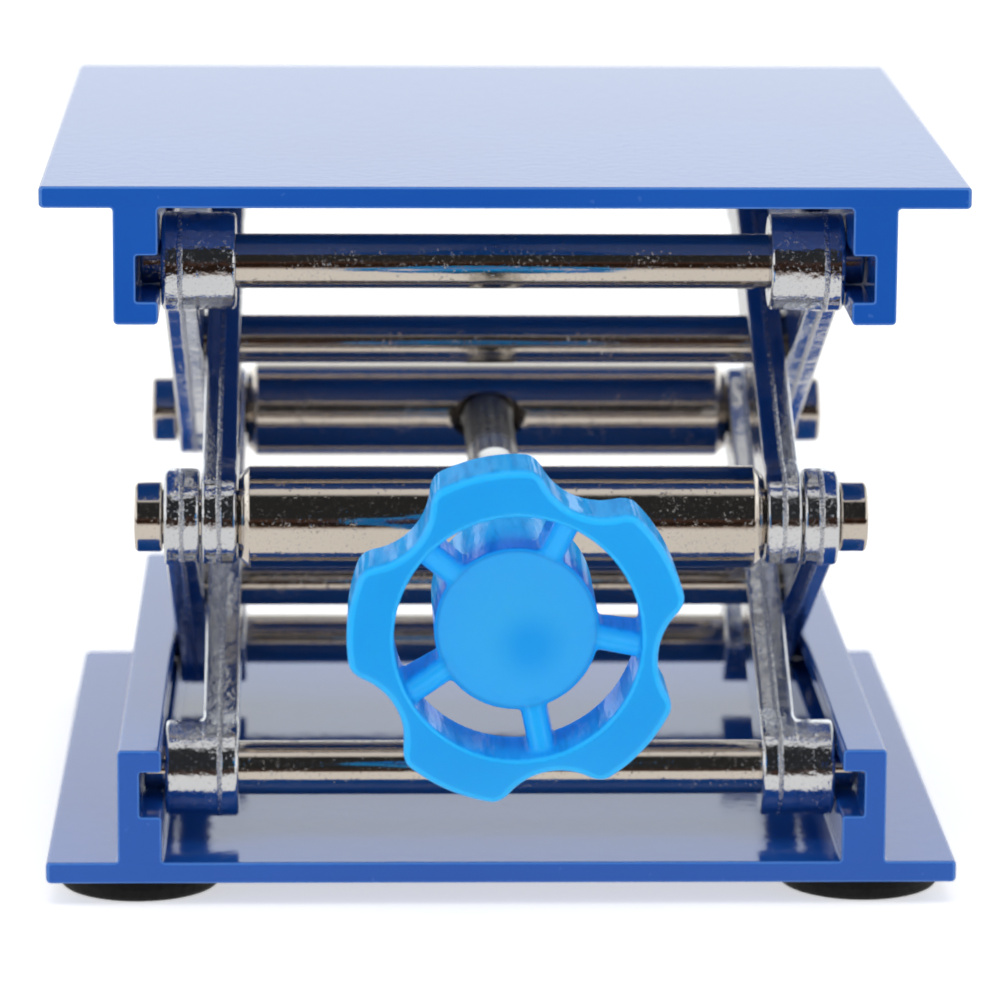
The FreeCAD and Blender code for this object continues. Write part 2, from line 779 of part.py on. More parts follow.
def retaining_clip():
    """A flat ring, open below, with two round reliefs that bite into its inner edge."""
    piece = along_screw("retaining_clip")
    start = groove_front + dim.clip_play / 2
    pad_ring(piece, start, dim.clip_thick, dim.clip_groove_dia + fixed, dim.clip_dia)
    cut_length = dim.clip_thick * 3
    mouth = sketch(piece, "mouth", "YZ_Plane", groove_front)
    half_mouth = dim.clip_groove_dia / 2 * dim.mouth_ratio
    rectangle(mouth, -half_mouth, -dim.clip_dia, half_mouth, 0)
    pocket(piece, mouth, cut_length, "mouth", both=True)
    centre = dim.clip_dia * dim.relief_place
    for i, turn in enumerate((dim.relief_turn, 180 - dim.relief_turn), 1):
        name = "relief_%d" % i
        relief = sketch(piece, name, "YZ_Plane", groove_front)
        circle(relief, centre * cosd(turn), centre * sind(turn), dim.clip_dia * dim.relief_size)
        pocket(piece, relief, cut_length, name, both=True)


lead_screw()
thrust_washers()
retaining_clip()


# ---------------------------------------------------------------- hand wheel
# local Y points to the wheel's left and local Z up, so directions are mirrored
notch_way = 180 - dim.notch_turn


def is_lobe_corner(edge, middle):
    reach = math.hypot(middle.y, middle.z)
    return straight(edge, Vector(1, 0, 0)) and reach > dim.rim_outer.number - 0.5


def is_rim_edge(edge, middle):
    """Edges of the rim's outside, on its front and back faces."""
    on_face = near(middle.x, rim_front) or near(middle.x, rim_front + dim.rim_thick)
    return on_face and math.hypot(middle.y, middle.z) > dim.rim_inner.number + 0.5


def wheel_rim(piece):
    pad_ring(piece, rim_front, dim.rim_thick, dim.rim_inner * 2, dim.rim_outer * 2, "rim")
    drawing = sketch(piece, "notch", "YZ_Plane", rim_front - dim.overrun)
    circle(
        drawing,
        dim.notch_centre * cosd(notch_way),
        dim.notch_centre * sind(notch_way),
        dim.notch_radius * 2,
    )
    notch = pocket(piece, drawing, dim.rim_thick + dim.overrun * 2, "notch", flip=True)
    polar(piece, notch, "notches", dim.lobes)
    fillet(piece, "lobe_corners", dim.lobe_corner, is_lobe_corner)
    fillet(piece, "rim_edges", dim.rim_edge, is_rim_edge)


def wheel_spokes(piece):
    """Spokes in line with the notches; their front edges lean forwards towards the rim."""
    drawing = sketch(piece, "spoke")
    rotation = FreeCAD.Rotation(Vector(1, 0, 0), notch_way.number)
    drawing.AttachmentOffset = FreeCAD.Placement(Vector(0, 0, 0), rotation)
    bind(drawing, "AttachmentOffset.Rotation.Angle", notch_way)
    start, end = dim.spoke_start, dim.rim_inner + dim.spoke_sunk
    lean = (dim.spoke_front_in - dim.spoke_front) / (dim.rim_inner - start)
    points = [
        (rim_front + dim.spoke_front_in, start),
        (rim_front + dim.spoke_front - lean * dim.spoke_sunk, end),
        (rim_front + dim.spoke_back, end),
        (rim_front + dim.spoke_back, start),
    ]
    polygon(drawing, points)
    spoke = pad(piece, drawing, dim.spoke_wide, "spoke", both=True)
    polar(piece, spoke, "spokes", dim.lobes)


def wheel_hub(piece):
    """Moulded over the screw's head: a closed seat and the screw's own hole."""
    hub = sketch(piece, "hub", "YZ_Plane", hub_front)
    circle(hub, 0, 0, dim.hub_dia)
    pad(piece, hub, dim.hub_back - dim.hub_recess, "hub")
    seat = sketch(piece, "hexagon_seat", "YZ_Plane", hexagon_front - dim.snug)
    hexagon(seat, dim.hexagon + fixed)
    pocket(piece, seat, dim.hexagon_high + fixed, "hexagon_seat", flip=True)
    bore = sketch(piece, "screw_bore", "YZ_Plane", hexagon_front)
    circle(bore, 0, 0, dim.screw_dia + fixed)
    pocket(piece, bore, dim.hub_back, "screw_bore", flip=True)


wheel = along_screw("hand_wheel")
wheel_rim(wheel)
wheel_spokes(wheel)
wheel_hub(wheel)

# ---------------------------------------------------------------- check and write
doc.recompute()
faults = []
for item in doc.Objects:
    if "Invalid" in item.State or "Error" in item.State:
        faults.append("%s is %s" % (item.Label, item.State))
for piece in pieces:
    if piece.Shape.isNull() or not piece.Shape.isValid() or not piece.Shape.Solids:
        faults.append("%s has no valid solid" % piece.Label)
if faults:
    print("\n".join(faults))
    sys.exit(1)
os.makedirs("parts", exist_ok=True)
for piece in pieces:
    piece.Shape.exportStep(os.path.join("parts", piece.Label + ".step"))
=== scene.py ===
"""The looks of a two-stage lab jack.

Two blue extruded plates are joined by eight plated cast arms on nickel shafts and crossbars, and
a lead screw along Y is turned by a lobed plastic hand wheel. Z is up, the hand wheel is at the
front (-Y) and "left" is -X. Lengths are in millimetres and become metres when a mesh is made.
"""
import functools
import json
import math
import bpy
import numpy as np
from mathutils import Matrix, Vector
from mathutils.geometry import tessellate_polygon


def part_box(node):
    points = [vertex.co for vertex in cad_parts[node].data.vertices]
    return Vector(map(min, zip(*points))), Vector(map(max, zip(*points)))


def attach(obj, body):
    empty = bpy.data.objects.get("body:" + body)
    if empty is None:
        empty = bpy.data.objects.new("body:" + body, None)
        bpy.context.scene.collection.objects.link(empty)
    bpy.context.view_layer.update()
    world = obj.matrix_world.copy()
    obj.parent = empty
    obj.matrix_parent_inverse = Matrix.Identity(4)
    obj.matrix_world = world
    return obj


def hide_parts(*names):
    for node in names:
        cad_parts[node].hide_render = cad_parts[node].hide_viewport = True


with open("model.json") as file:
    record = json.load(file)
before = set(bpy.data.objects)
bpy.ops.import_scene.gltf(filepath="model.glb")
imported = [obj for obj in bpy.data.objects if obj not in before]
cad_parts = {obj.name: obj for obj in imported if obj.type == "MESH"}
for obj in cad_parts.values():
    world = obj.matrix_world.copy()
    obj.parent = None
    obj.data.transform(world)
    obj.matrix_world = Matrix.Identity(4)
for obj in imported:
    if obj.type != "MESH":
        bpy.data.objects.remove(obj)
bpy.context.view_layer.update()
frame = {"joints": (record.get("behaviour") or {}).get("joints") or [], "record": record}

MM = 0.001
joints = {joint["name"]: joint for joint in frame["joints"]}
body_of = {
    node: body for body, nodes in frame["record"]["behaviour"]["bodies"].items() for node in nodes
}
slot_of = {part["node"]: part["material_slot"] for part in frame["record"]["subparts"]}


def joint_place(name):
    return np.array(joints[name]["pos_m"], float) / MM


def box(node):
    low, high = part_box(node)
    return np.array(low, float) / MM, np.array(high, float) / MM


# ---------------------------------------------------------------- places, all from the frame
REAR_Y, LOW_Z = joint_place("lift")[1:]
FRONT_Y, MID_Z = joint_place("front_bar_pivot")[1:]
HIGH_Z = joint_place("platform_pivot")[2]
CENTRE_Y, LOW_CENTRE_Z = joint_place("lower_centre_pivot")[1:]
HIGH_CENTRE_Z = joint_place("upper_centre_pivot")[2]

ARM_LENGTH = math.hypot(REAR_Y - FRONT_Y, MID_Z - LOW_Z)  # from pivot to pivot
ARM_ANGLE = math.atan2(MID_Z - LOW_Z, REAR_Y - FRONT_Y)
ARM_THICK = 3.9
ARM_HALF = ARM_THICK / 2
INNER_MIDDLE = float(box("lower_inner_arm_right")[0][0] + ARM_HALF)  # x of the arms' middles
OUTER_MIDDLE = float(box("upper_outer_arm_right")[1][0] - ARM_HALF)
OUTER_FACE = OUTER_MIDDLE + ARM_HALF

PLATE_MIDDLE_Y = (box("base_plate")[0][1] + box("base_plate")[1][1]) / 2
RIM_FRONT = box("hand_wheel")[0][1]
SCREW_ORIGIN = np.array((0, FRONT_Y, MID_Z), float)

# the hand wheel's hub, behind the rim's front, and the screw's hexagon head closed inside it
HUB_FRONT, HUB_BACK, HUB_RADIUS = 4.5, 21.9, 8.375
HUB_SKIN, HEX_GAP, HEX_LENGTH = 1.6, 0.01, 4.0
HEX_FRONT = RIM_FRONT + HUB_FRONT + HUB_SKIN + HEX_GAP - FRONT_Y  # from the screw's origin
HEX_BACK = HEX_FRONT + HEX_LENGTH

# an axis and the two directions across it
AXES = {
    "x": (np.array([1.0, 0, 0]), np.array([0, 1.0, 0]), np.array([0, 0, 1.0])),
    "y": (np.array([0, 1.0, 0]), np.array([0, 0, 1.0]), np.array([1.0, 0, 0])),
    "z": (np.array([0, 0, 1.0]), np.array([1.0, 0, 0]), np.array([0, 1.0, 0])),
}


# ---------------------------------------------------------------- meshes
def mesh_object(name, points, faces, normals=None, loop_normals=None):
    """A smooth object from points in millimetres, with normals per point or per face corner."""
    mesh = bpy.data.meshes.new(name)
    mesh.from_pydata((np.asarray(points, float) * MM).tolist(), [], faces)
    mesh.polygons.foreach_set("use_smooth", [True] * len(mesh.polygons))
    mesh.update()
    if normals is not None:
        mesh.normals_split_custom_set_from_vertices(np.asarray(normals, float).tolist())
    if loop_normals is not None:
        mesh.normals_split_custom_set(np.asarray(loop_normals, float).tolist())
    piece = bpy.data.objects.new(name, mesh)
    bpy.context.scene.collection.objects.link(piece)
    return piece


def apply_modifiers(piece):
    graph = bpy.context.evaluated_depsgraph_get()
    mesh = bpy.data.meshes.new_from_object(piece.evaluated_get(graph))
    piece.modifiers.clear()
    piece.data = mesh


def combine(piece, tools, operation):
    """Cuts the tools from the piece, or unites them with it, and removes them."""
    for tool in tools:
        modifier = piece.modifiers.new("cut", "BOOLEAN")
        modifier.operation = operation
        modifier.solver = "EXACT"
        modifier.object = tool
    bpy.context.view_layer.update()
    apply_modifiers(piece)
    for tool in tools:
        bpy.data.objects.remove(tool)


def shade(piece, angle=32):
    """Keeps flat faces flat and small roundings smooth."""
    mesh = piece.data
    mesh.polygons.foreach_set("use_smooth", [True] * len(mesh.polygons))
    mesh.set_sharp_from_angle(angle=math.radians(angle))
    modifier = piece.modifiers.new("shading", "WEIGHTED_NORMAL")
    modifier.mode = "FACE_AREA"
    modifier.weight = 50
    modifier.keep_sharp = True
    apply_modifiers(piece)


def merged(name, parts):
    """One object from several, which are removed."""
    points, faces, count = [], [], 0
    for part in parts:
        mesh = part.data
        places = np.empty(len(mesh.vertices) * 3)
        mesh.vertices.foreach_get("co", places)
        points.append(places.reshape(-1, 3) / MM)
        faces += [tuple(v + count for v in face.vertices) for face in mesh.polygons]
        count += len(mesh.vertices)
        bpy.data.objects.remove(part)
    return mesh_object(name, np.concatenate(points), faces)


def turned(vector, angle):
    cos, sin = math.cos(angle), math.sin(angle)
    return np.array([vector[0] * cos - vector[1] * sin, vector[0] * sin + vector[1] * cos])


def rounded_line(corners, closed=False, step=15.0):
    """A line through corners (a, b, rounding) as a list of (point, outward normal).

    The solid lies on the right of the line. A sharp corner gives two entries, one for each side.
    step is the widest angle in degrees between points of a rounding.
    """
    count = len(corners)
    spots = [np.array(corner[:2], float) for corner in corners]
    line = []

    def heading(i, j):
        way = spots[j % count] - spots[i % count]
        return way / np.linalg.norm(way)

    def left_of(way):
        return np.array([-way[1], way[0]])

    for i, spot in enumerate(spots):
        radius = corners[i][2] if len(corners[i]) > 2 else 0.0
        if not closed and i in (0, count - 1):
            way = heading(0, 1) if i == 0 else heading(count - 2, count - 1)
            line.append((spot, left_of(way)))
            continue
        before, after = heading(i - 1, i), heading(i, i + 1)
        cross = before[0] * after[1] - before[1] * after[0]
        bend = math.atan2(cross, float(before @ after))
        if abs(bend) < 1e-6:
            line.append((spot, left_of(before)))
            continue
        if radius <= 0:
            line += [(spot, left_of(before)), (spot, left_of(after))]
            continue
        start = spot - before * radius * math.tan(abs(bend) / 2)
        centre = start + left_of(before) * radius * (1.0 if bend > 0 else -1.0)
        steps = max(2, int(math.ceil(math.degrees(abs(bend)) / step)))
        for k in range(steps + 1):
            angle = bend * k / steps
            point = centre + turned(start - centre, angle)
            line.append((point, turned(left_of(before), angle)))
    return line


def spokes_round(across, other, around):
    """Unit vectors evenly round an axis, and their angles."""
    angles = np.arange(around) * 2 * math.pi / around
    return np.cos(angles)[:, None] * across + np.sin(angles)[:, None] * other, angles


def lathe(name, corners, axis, origin, around=128, closed=False, mirror=False):
    """A turned piece. corners are (along, radius, rounding) with the solid on the right.

    mirror turns the piece to point against its axis.
    """
    line = rounded_line(corners, closed)
    if closed:
        line.append(line[0])
    along, across, other = AXES[axis]
    if mirror:
        along, across, other = -along, other, across
    origin = np.array(origin, float)
    spokes, _ = spokes_round(across, other, around)
    points, rings, faces, normals = [], [], [], []
    count = 0
    for k, (spot, _) in enumerate(line):
        if closed and k == len(line) - 1:
            rings.append(rings[0])
        elif k and np.linalg.norm(spot - line[k - 1][0]) < 1e-7:
            rings.append(rings[-1])
        else:
            centre = origin + along * spot[0]
            on_axis = spot[1] < 1e-6
            points.append(centre[None, :] if on_axis else centre + spokes * spot[1])
            rings.append(range(count, count + len(points[-1])))
            count += len(points[-1])
    for k in range(len(line) - 1):
        near, far = rings[k], rings[k + 1]
        if near is far:
            continue
        near_out, far_out = [along * out[0] + spokes * out[1] for _, out in line[k : k + 2]]
        for j in range(around):
            m = (j + 1) % around
            if len(near) == 1:
                faces.append((near[0], far[m], far[j]))
                normals += [near_out[j], far_out[m], far_out[j]]
            elif len(far) == 1:
                faces.append((near[j], near[m], far[0]))
                normals += [near_out[j], near_out[m], far_out[j]]
            else:
                faces.append((near[j], near[m], far[m], far[j]))
                normals += [near_out[j], near_out[m], far_out[m], far_out[j]]
    return mesh_object(name, np.concatenate(points), faces, loop_normals=np.array(normals))


def both_ways(half):
    """A lathe profile given for its positive half, from the middle out, made whole."""
    return [(-along, radius, rounding) for along, radius, rounding in reversed(half)] + half


def extrusion(section, start, end, soft, stations):
    """Points and faces of a closed section (x, z, rounding) drawn along Y from start to end.

    The ends are softened by a rounding; stations are distances of further rings from each end.
    """
    line = []
    for spot, out in rounded_line(section, closed=True, step=18.0):
        if not line or np.linalg.norm(line[-1][0] - spot) >= 1e-7:
            line.append((spot, out))
    flat = np.array([spot for spot, _ in line])
    outward = np.array([out for _, out in line])
    count = len(line)

    rings = []  # (distance from the end, inset)
    for k in range(5):
        angle = math.radians(22.5 * k)
        rings.append((soft * (1 - math.cos(angle)), soft * (1 - math.sin(angle))))
    rings += [(distance, 0.0) for distance in stations]
    whole = [(start + distance, inset) for distance, inset in rings]
    whole += [(end - distance, inset) for distance, inset in reversed(rings)]

    points = []
    for y, inset in whole:
        ring = flat - outward * inset
        points.append(np.column_stack([ring[:, 0], np.full(count, y), ring[:, 1]]))
    faces = []
    for k in range(len(whole) - 1):
        for j in range(count):
            m = (j + 1) % count
            faces.append((k * count + j, k * count + m, (k + 1) * count + m, (k + 1) * count + j))
    last = (len(whole) - 1) * count
    for a, b, c in tessellate_polygon([[Vector((p[0], p[2], 0)) for p in points[0]]]):
        to_b, to_c = flat[b] - flat[a], flat[c] - flat[a]
        if to_b[0] * to_c[1] - to_b[1] * to_c[0] < 0:
            b, c = c, b
        # seen from -Y, x runs right and z up, so an anticlockwise face looks along -Y
        faces.append((a, b, c))
        faces.append((last + a, last + c, last + b))
    return np.concatenate(points), faces


def prism(name, outline, low, high, axis, origin):
    """A prism of an outline, given across an axis, from low to high along it."""
    along, across, other = AXES[axis]
    count = len(outline)
    ends = [(place, first, second) for place in (low, high) for first, second in outline]
    local = np.array(ends)
    points = np.asarray(origin, float) + local[:, :1] * along
    points = points + local[:, 1:2] * across + local[:, 2:3] * other
    faces = [(j, (j + 1) % count, count + (j + 1) % count, count + j) for j in range(count)]
    faces += [tuple(reversed(range(count))), tuple(range(count, 2 * count))]
    return mesh_object(name, points, faces)


def hexagon(radius, first_degrees):
    angles = [math.radians(60 * i + first_degrees) for i in range(6)]
    return [(radius * math.cos(angle), radius * math.sin(angle)) for angle in angles]


def side_span(inner, outer, left):
    """The low and high ends of a length that runs from inner to outer on one side."""
    return (-outer, -inner) if left else (inner, outer)


# ---------------------------------------------------------------- skins of rounded bodies
def soft_max(one, other, radius):
    """The part common to two bodies, its edge rounded."""
    one_in, other_in = np.maximum(radius + one, 0), np.maximum(radius + other, 0)
    return np.minimum(-radius, np.maximum(one, other)) + np.sqrt(
        one_in * one_in + other_in * other_in
    )


def soft_min(one, other, radius):
    """Two bodies together, the corner between them filled."""
    one_in, other_in = np.maximum(radius - one, 0), np.maximum(radius - other, 0)
    return np.maximum(radius, np.minimum(one, other)) - np.sqrt(
        one_in * one_in + other_in * other_in
    )


def field_slope(field, points, reach=0.004):
    slope = np.empty_like(points)
    for i in range(3):
        shift = np.zeros(3)
        shift[i] = reach
        ahead, behind = points + shift, points - shift
        slope[:, i] = (field(*ahead.T) - field(*behind.T)) / (2 * reach)
    return slope


def skin(field, low, high, cell):
    """Points, quads and normals of the surface where a field is zero, inside being negative.

    Every grid cell the surface crosses gives a point, and every crossed grid edge gives a quad.
    """
    low, high = np.array(low, float), np.array(high, float)
    count = np.ceil((high - low) / cell).astype(int) + 1
    grid = np.meshgrid(*[low[i] + cell * np.arange(count[i]) for i in range(3)], indexing="ij")
    values = field(*grid)
    inside = values < 0
    cells = count - 1
    cell_count = int(np.prod(cells))
    total = np.zeros((cell_count, 3))
    hits = np.zeros(cell_count)
    quads = []
    for axis in range(3):
        side, other_side = (axis + 1) % 3, (axis + 2) % 3
        near, far = [slice(None)] * 3, [slice(None)] * 3
        near[axis], far[axis] = slice(0, -1), slice(1, None)
        near, far = tuple(near), tuple(far)
        crossing = inside[near] != inside[far]
        index = np.argwhere(crossing)
        near_value, far_value = values[near][crossing], values[far][crossing]
        spot = low + index * cell
        spot[:, axis] += cell * near_value / (near_value - far_value)
        corners = []
        good = np.ones(len(index), bool)
        for back, other_back in ((1, 1), (0, 1), (0, 0), (1, 0)):
            owner = index.copy()
            owner[:, side] -= back
            owner[:, other_side] -= other_back
            exists = ((owner >= 0) & (owner < cells)).all(1)
            good &= exists
            key = (owner[:, 0] * cells[1] + owner[:, 1]) * cells[2] + owner[:, 2]
            key = np.where(exists, key, 0)
            for i in range(3):
                total[:, i] += np.bincount(key[exists], spot[exists, i], cell_count)
            hits += np.bincount(key[exists], None, cell_count)
            corners.append(key)
        quad = np.column_stack(corners)[good]
        leaving = inside[near][crossing][good]
        quad[~leaving] = quad[~leaving][:, ::-1]
        quads.append(quad)
    used = hits > 0
    number = np.cumsum(used) - 1
    points = total[used] / hits[used][:, None]
    quads = number[np.concatenate(quads)]
    # the points are drawn onto the surface, by at most half a cell at a time
    for _ in range(5):
        value = field(*points.T)
        slope = field_slope(field, points)
        step = slope * (value / np.maximum((slope * slope).sum(1), 1e-9))[:, None]
        length = np.linalg.norm(step, axis=1)
        step *= np.minimum(1, 0.5 * cell / np.maximum(length, 1e-12))[:, None]
        points = points - step
    normals = field_slope(field, points)
    normals /= np.maximum(np.linalg.norm(normals, axis=1), 1e-9)[:, None]
    return points, quads, normals


# ---------------------------------------------------------------- shader nodes
class Value:
    """A number inside a node tree that can be reckoned with."""

    def __init__(self, looks, socket):
        self.looks = looks
        self.socket = socket

    def _math(self, operation, *others):
        node = self.looks.node("Math", dict(enumerate((self,) + others)), operation=operation)
        return Value(self.looks, node.outputs[0])

    def __add__(self, other):
        return self._math("ADD", other)

    def __radd__(self, other):
        return self._math("ADD", other)

    def __sub__(self, other):
        return self._math("SUBTRACT", other)

    def __rsub__(self, other):
        return (self * -1.0) + other

    def __mul__(self, other):
        return self._math("MULTIPLY", other)

    def abs(self):
        return self._math("ABSOLUTE")

    def power(self, exponent):
        return self._math("POWER", exponent)

    def most(self, other):
        return self._math("MAXIMUM", other)

    def ramp(self, over=(0.3, 0.7), to=(0.0, 1.0)):
        """Goes smoothly between the two ends of "to" as the value crosses "over".

        The default "over" takes in most of a noise's spread.
        """
        ends = {"From Min": over[0], "From Max": over[1], "To Min": to[0], "To Max": to[1]}
        node = self.looks.node(
            "MapRange", {"Value": self, **ends}, interpolation_type="SMOOTHSTEP", clamp=True
        )
        return Value(self.looks, node.outputs["Result"])


class Looks:
    """Builds the node tree of a material or world."""

    PRINCIPLED = {
        "color": "Base Color", "metal": "Metallic", "rough": "Roughness", "ior": "IOR",
        "normal": "Normal", "under": "Subsurface Weight", "under_radius": "Subsurface Radius",
        "under_scale": "Subsurface Scale", "glow": "Emission Color",
        "glow_strength": "Emission Strength", "spec": "Specular IOR Level",
    }

    def __init__(self, owner):
        owner.use_nodes = True
        self.tree = owner.node_tree
        self.tree.nodes.clear()

    def put(self, socket, content):
        """Links a value or socket to an input, or sets the input to a number or colour."""
        if isinstance(content, Value):
            content = content.socket
        if isinstance(content, bpy.types.NodeSocket):
            self.tree.links.new(content, socket)
            return
        if isinstance(content, tuple) and len(content) == 3 and len(socket.default_value) == 4:
            content = (*content, 1.0)
        socket.default_value = content

    def node(self, kind, inputs=None, **settings):
        node = self.tree.nodes.new("ShaderNode" + kind)
        for name, setting in settings.items():
            setattr(node, name, setting)
        for key, content in (inputs or {}).items():
            self.put(node.inputs[key], content)
        return node

    def shader(self, kind, inputs):
        return self.node(kind, inputs).outputs[0]

    def output(self, shader, kind="OutputMaterial"):
        self.node(kind, {0: shader})

    def object_place(self):
        return self.node("TexCoord").outputs["Object"]

    @functools.cached_property
    def here(self):
        """The place on the object, shared by a material's patterns."""
        return self.object_place()

    def split(self, vector):
        return [Value(self, part) for part in self.node("SeparateXYZ", {0: vector}).outputs]

    def normal_y(self):
        return self.split(self.node("NewGeometry").outputs["Normal"])[1]

    def noise(self, scale, detail=2.0, rough=0.5, stretch=None, seed=0.0, place=None):
        """Noise of a scale per metre; stretch multiplies the scale by axis, seed shifts it."""
        vector = place or self.here
        if stretch is not None or seed:
            shift = (seed, seed * 0.7, seed * 1.3)
            mapping = {"Vector": vector, "Scale": stretch or (1, 1, 1), "Location": shift}
            vector = self.node("Mapping", mapping).outputs[0]
        settings = {"Vector": vector, "Scale": scale, "Detail": detail, "Roughness": rough}
        return Value(self, self.node("TexNoise", settings).outputs[0])

    def mix(self, base, over, amount):
        """One colour with another laid over it by an amount."""
        return self.node("Mix", {0: amount, 6: base, 7: over}, data_type="RGBA").outputs[2]

    def relief(self, *layers):
        """A bumped normal from layers of (height, distance in metres), the first one lowest."""
        normal = None
        for height, distance in layers:
            inputs = {"Height": height, "Distance": distance, "Strength": 1.0}
            if normal is not None:
                inputs["Normal"] = normal
            normal = self.node("Bump", inputs).outputs[0]
        return normal

    def principled(self, **inputs):
        named = {self.PRINCIPLED[name]: content for name, content in inputs.items()}
        return self.shader("BsdfPrincipled", named)

    def surface(self, **inputs):
        self.output(self.principled(**inputs))

    def light_path(self):
        """Whether a ray is from the camera, and whether it is glossy."""
        path = self.node("LightPath")
        return [Value(self, path.outputs[name]) for name in ("Is Camera Ray", "Is Glossy Ray")]


# ---------------------------------------------------------------- materials
# Each function is named after its material slot.
def blue_finish(looks):
    """Glossy blue with orange peel, and a painted highlight on the rounded edges of the plates' sawn
    ends.
    """
    facing = looks.normal_y().abs()
    peel = looks.noise(scale=680.0, detail=1.5, rough=0.45)
    fine = looks.noise(scale=2600.0, seed=3.1)
    broad = looks.noise(scale=26.0, detail=3.0, rough=0.55, seed=7.7)
    speck = looks.noise(scale=1300.0, detail=0.0, seed=9.2).ramp(over=(0.83, 0.86))
    # painted highlight: the rounded edges of the sawn ends are coloured paler and made a little
    # rougher
    painted_edge_highlight = facing.ramp(over=(0.18, 0.45)) * facing.ramp(over=(0.93, 0.99), to=(1.0, 0.0))
    color = looks.mix((0.0105, 0.088, 0.415), over=(0.0125, 0.101, 0.452), amount=broad.ramp())
    color = looks.mix(color, over=(0.10, 0.28, 0.70), amount=painted_edge_highlight * 0.55)
    color = looks.mix(color, over=(0.10, 0.24, 0.62), amount=speck * 0.2)
    rough = broad.ramp(over=(0.3, 0.75), to=(0.06, 0.10)) + speck * 0.1 + painted_edge_highlight * 0.15
    normal = looks.relief((peel, 0.000019), (fine, 0.0000007), (speck, -0.000002))
    looks.surface(color=color, rough=rough, ior=1.47, normal=normal)


def plated_casting(looks):
    """Bright plating over a cast skin, with a rough parting line round the middle of each arm."""
    through = Value(looks, looks.node("Attribute", attribute_name="through").outputs["Fac"])
    wander = looks.noise(scale=150.0, rough=0.6, seed=5.0) - 0.5
    off_line = (through + wander * 0.25).abs()
    grain = looks.noise(scale=2300.0, detail=3.0, rough=0.65)
    flash = off_line.ramp(over=(0.14, 0.34), to=(1.0, 0.0))
    ridge = flash * grain.ramp(over=(0.28, 0.66))
    # one half of the mould left a rougher skin than the other
    half = through.ramp(over=(-0.15, 0.15))
    wave = looks.noise(scale=260.0, seed=2.0)
    ripple = looks.noise(scale=760.0, detail=3.0, rough=0.62, seed=8.8)
    speckled = looks.noise(scale=120.0, rough=0.6, seed=1.4).ramp(over=(0.42, 0.66))
    pit = looks.noise(scale=2600.0, detail=1.5, seed=6.4)
    pits = pit.ramp(over=(0.64, 0.74))
    broad = looks.noise(scale=70.0, seed=4.0)
    color = looks.mix((0.715, 0.725, 0.745), over=(0.765, 0.77, 0.785), amount=broad.ramp())
    color = looks.mix(color, over=(0.36, 0.35, 0.36), amount=pits * 0.3 + ridge * 0.25)
    # dust and chalky residue in the grain, mostly on what faces the front
    ahead = (looks.normal_y() * -1.0).ramp(over=(0.60, 0.92), to=(0.12, 1.0))
    powder = looks.noise(scale=2500.0, detail=3.0, rough=0.65, seed=7.3).ramp(over=(0.56, 0.70))
    dust = powder * (speckled * 0.8 + 0.2) * ahead
    dust = dust.most(flash * grain.ramp(over=(0.55, 0.75)) * 0.7)
    color = looks.mix(color, over=(0.50, 0.50, 0.51), amount=dust)
    rough = broad.ramp(to=(0.06, 0.11)) + pits * 0.15 + flash * 0.12 + half * 0.02
    normal = looks.relief(
        (wave, 0.000085),
        (ripple * (speckled * 0.9 + 0.35), 0.000120),
        (pit * (half * 0.8 + 0.6), 0.000016),
        (ridge, 0.000085),
    )
    looks.surface(color=color, metal=1.0 - dust * 0.8, rough=rough + dust * 0.3, normal=normal)


def polished_nickel(looks):
    """Warm nickel, ground round and polished, with clouds of fine dust."""
    ground = looks.noise(scale=900.0, stretch=(9.0, 0.5, 0.5), seed=1.3)
    cloud = looks.noise(scale=180.0, detail=3.0, rough=0.6, seed=5.1).ramp(over=(0.45, 0.70))
    peel = looks.noise(scale=1100.0, rough=0.55, seed=2.6)
    pits = looks.noise(scale=2300.0, detail=1.0, seed=3.4).ramp(over=(0.66, 0.78))
    broad = looks.noise(scale=45.0, detail=3.0, seed=8.0)
    color = looks.mix((0.69, 0.62, 0.54), over=(0.74, 0.665, 0.585), amount=broad.ramp())
    color = looks.mix(color, over=(0.40, 0.36, 0.31), amount=pits * 0.35)
    # the dust shows on what faces the front, where the metal mirrors the dark room
    ahead = (looks.normal_y() * -1.0).ramp(over=(0.72, 0.93))
    powder = looks.noise(scale=2700.0, detail=3.0, rough=0.65, seed=4.7).ramp(over=(0.55, 0.70))
    dust = powder * (cloud * 0.75 + 0.10) * ahead
    color = looks.mix(color, over=(0.46, 0.46, 0.45), amount=dust)
    rough = broad.ramp(to=(0.070, 0.105)) + cloud * 0.045 + pits * 0.15 + dust * 0.3
    normal = looks.relief(
        (ground, 0.0000008), (peel * (cloud * 0.9 + 0.25), 0.0000150), (pits, 0.000012)
    )
    looks.surface(color=color, metal=1.0 - dust * 0.75, rough=rough, normal=normal)


def screw_steel(looks):
    """Bright steel that is coloured darker towards the back of the lead screw."""
    y = looks.split(looks.here)[1]
    grain = looks.noise(scale=1200.0, detail=3.0, rough=0.6, stretch=(0.4, 2.0, 0.4))
    stain = looks.noise(scale=140.0, detail=3.0, rough=0.6, seed=2.2)
    # millimetres behind the screw's origin; the colour turns darker and rougher from 30 to 36 mm back
    darker_back = (y * 1000.0 - FRONT_Y).ramp(over=(30.0, 36.0))
    stained = (0.35, 0.7)
    bright = looks.mix((0.52, 0.51, 0.49), over=(0.62, 0.60, 0.57), amount=stain.ramp(stained))
    dark = looks.mix((0.15, 0.145, 0.14), over=(0.23, 0.22, 0.21), amount=stain.ramp(stained))
    color = looks.mix(bright, over=dark, amount=darker_back)
    rough = grain.ramp(to=(0.14, 0.24)) + darker_back * 0.12
    looks.surface(color=color, metal=1.0, rough=rough, normal=looks.relief((grain, 0.000003)))


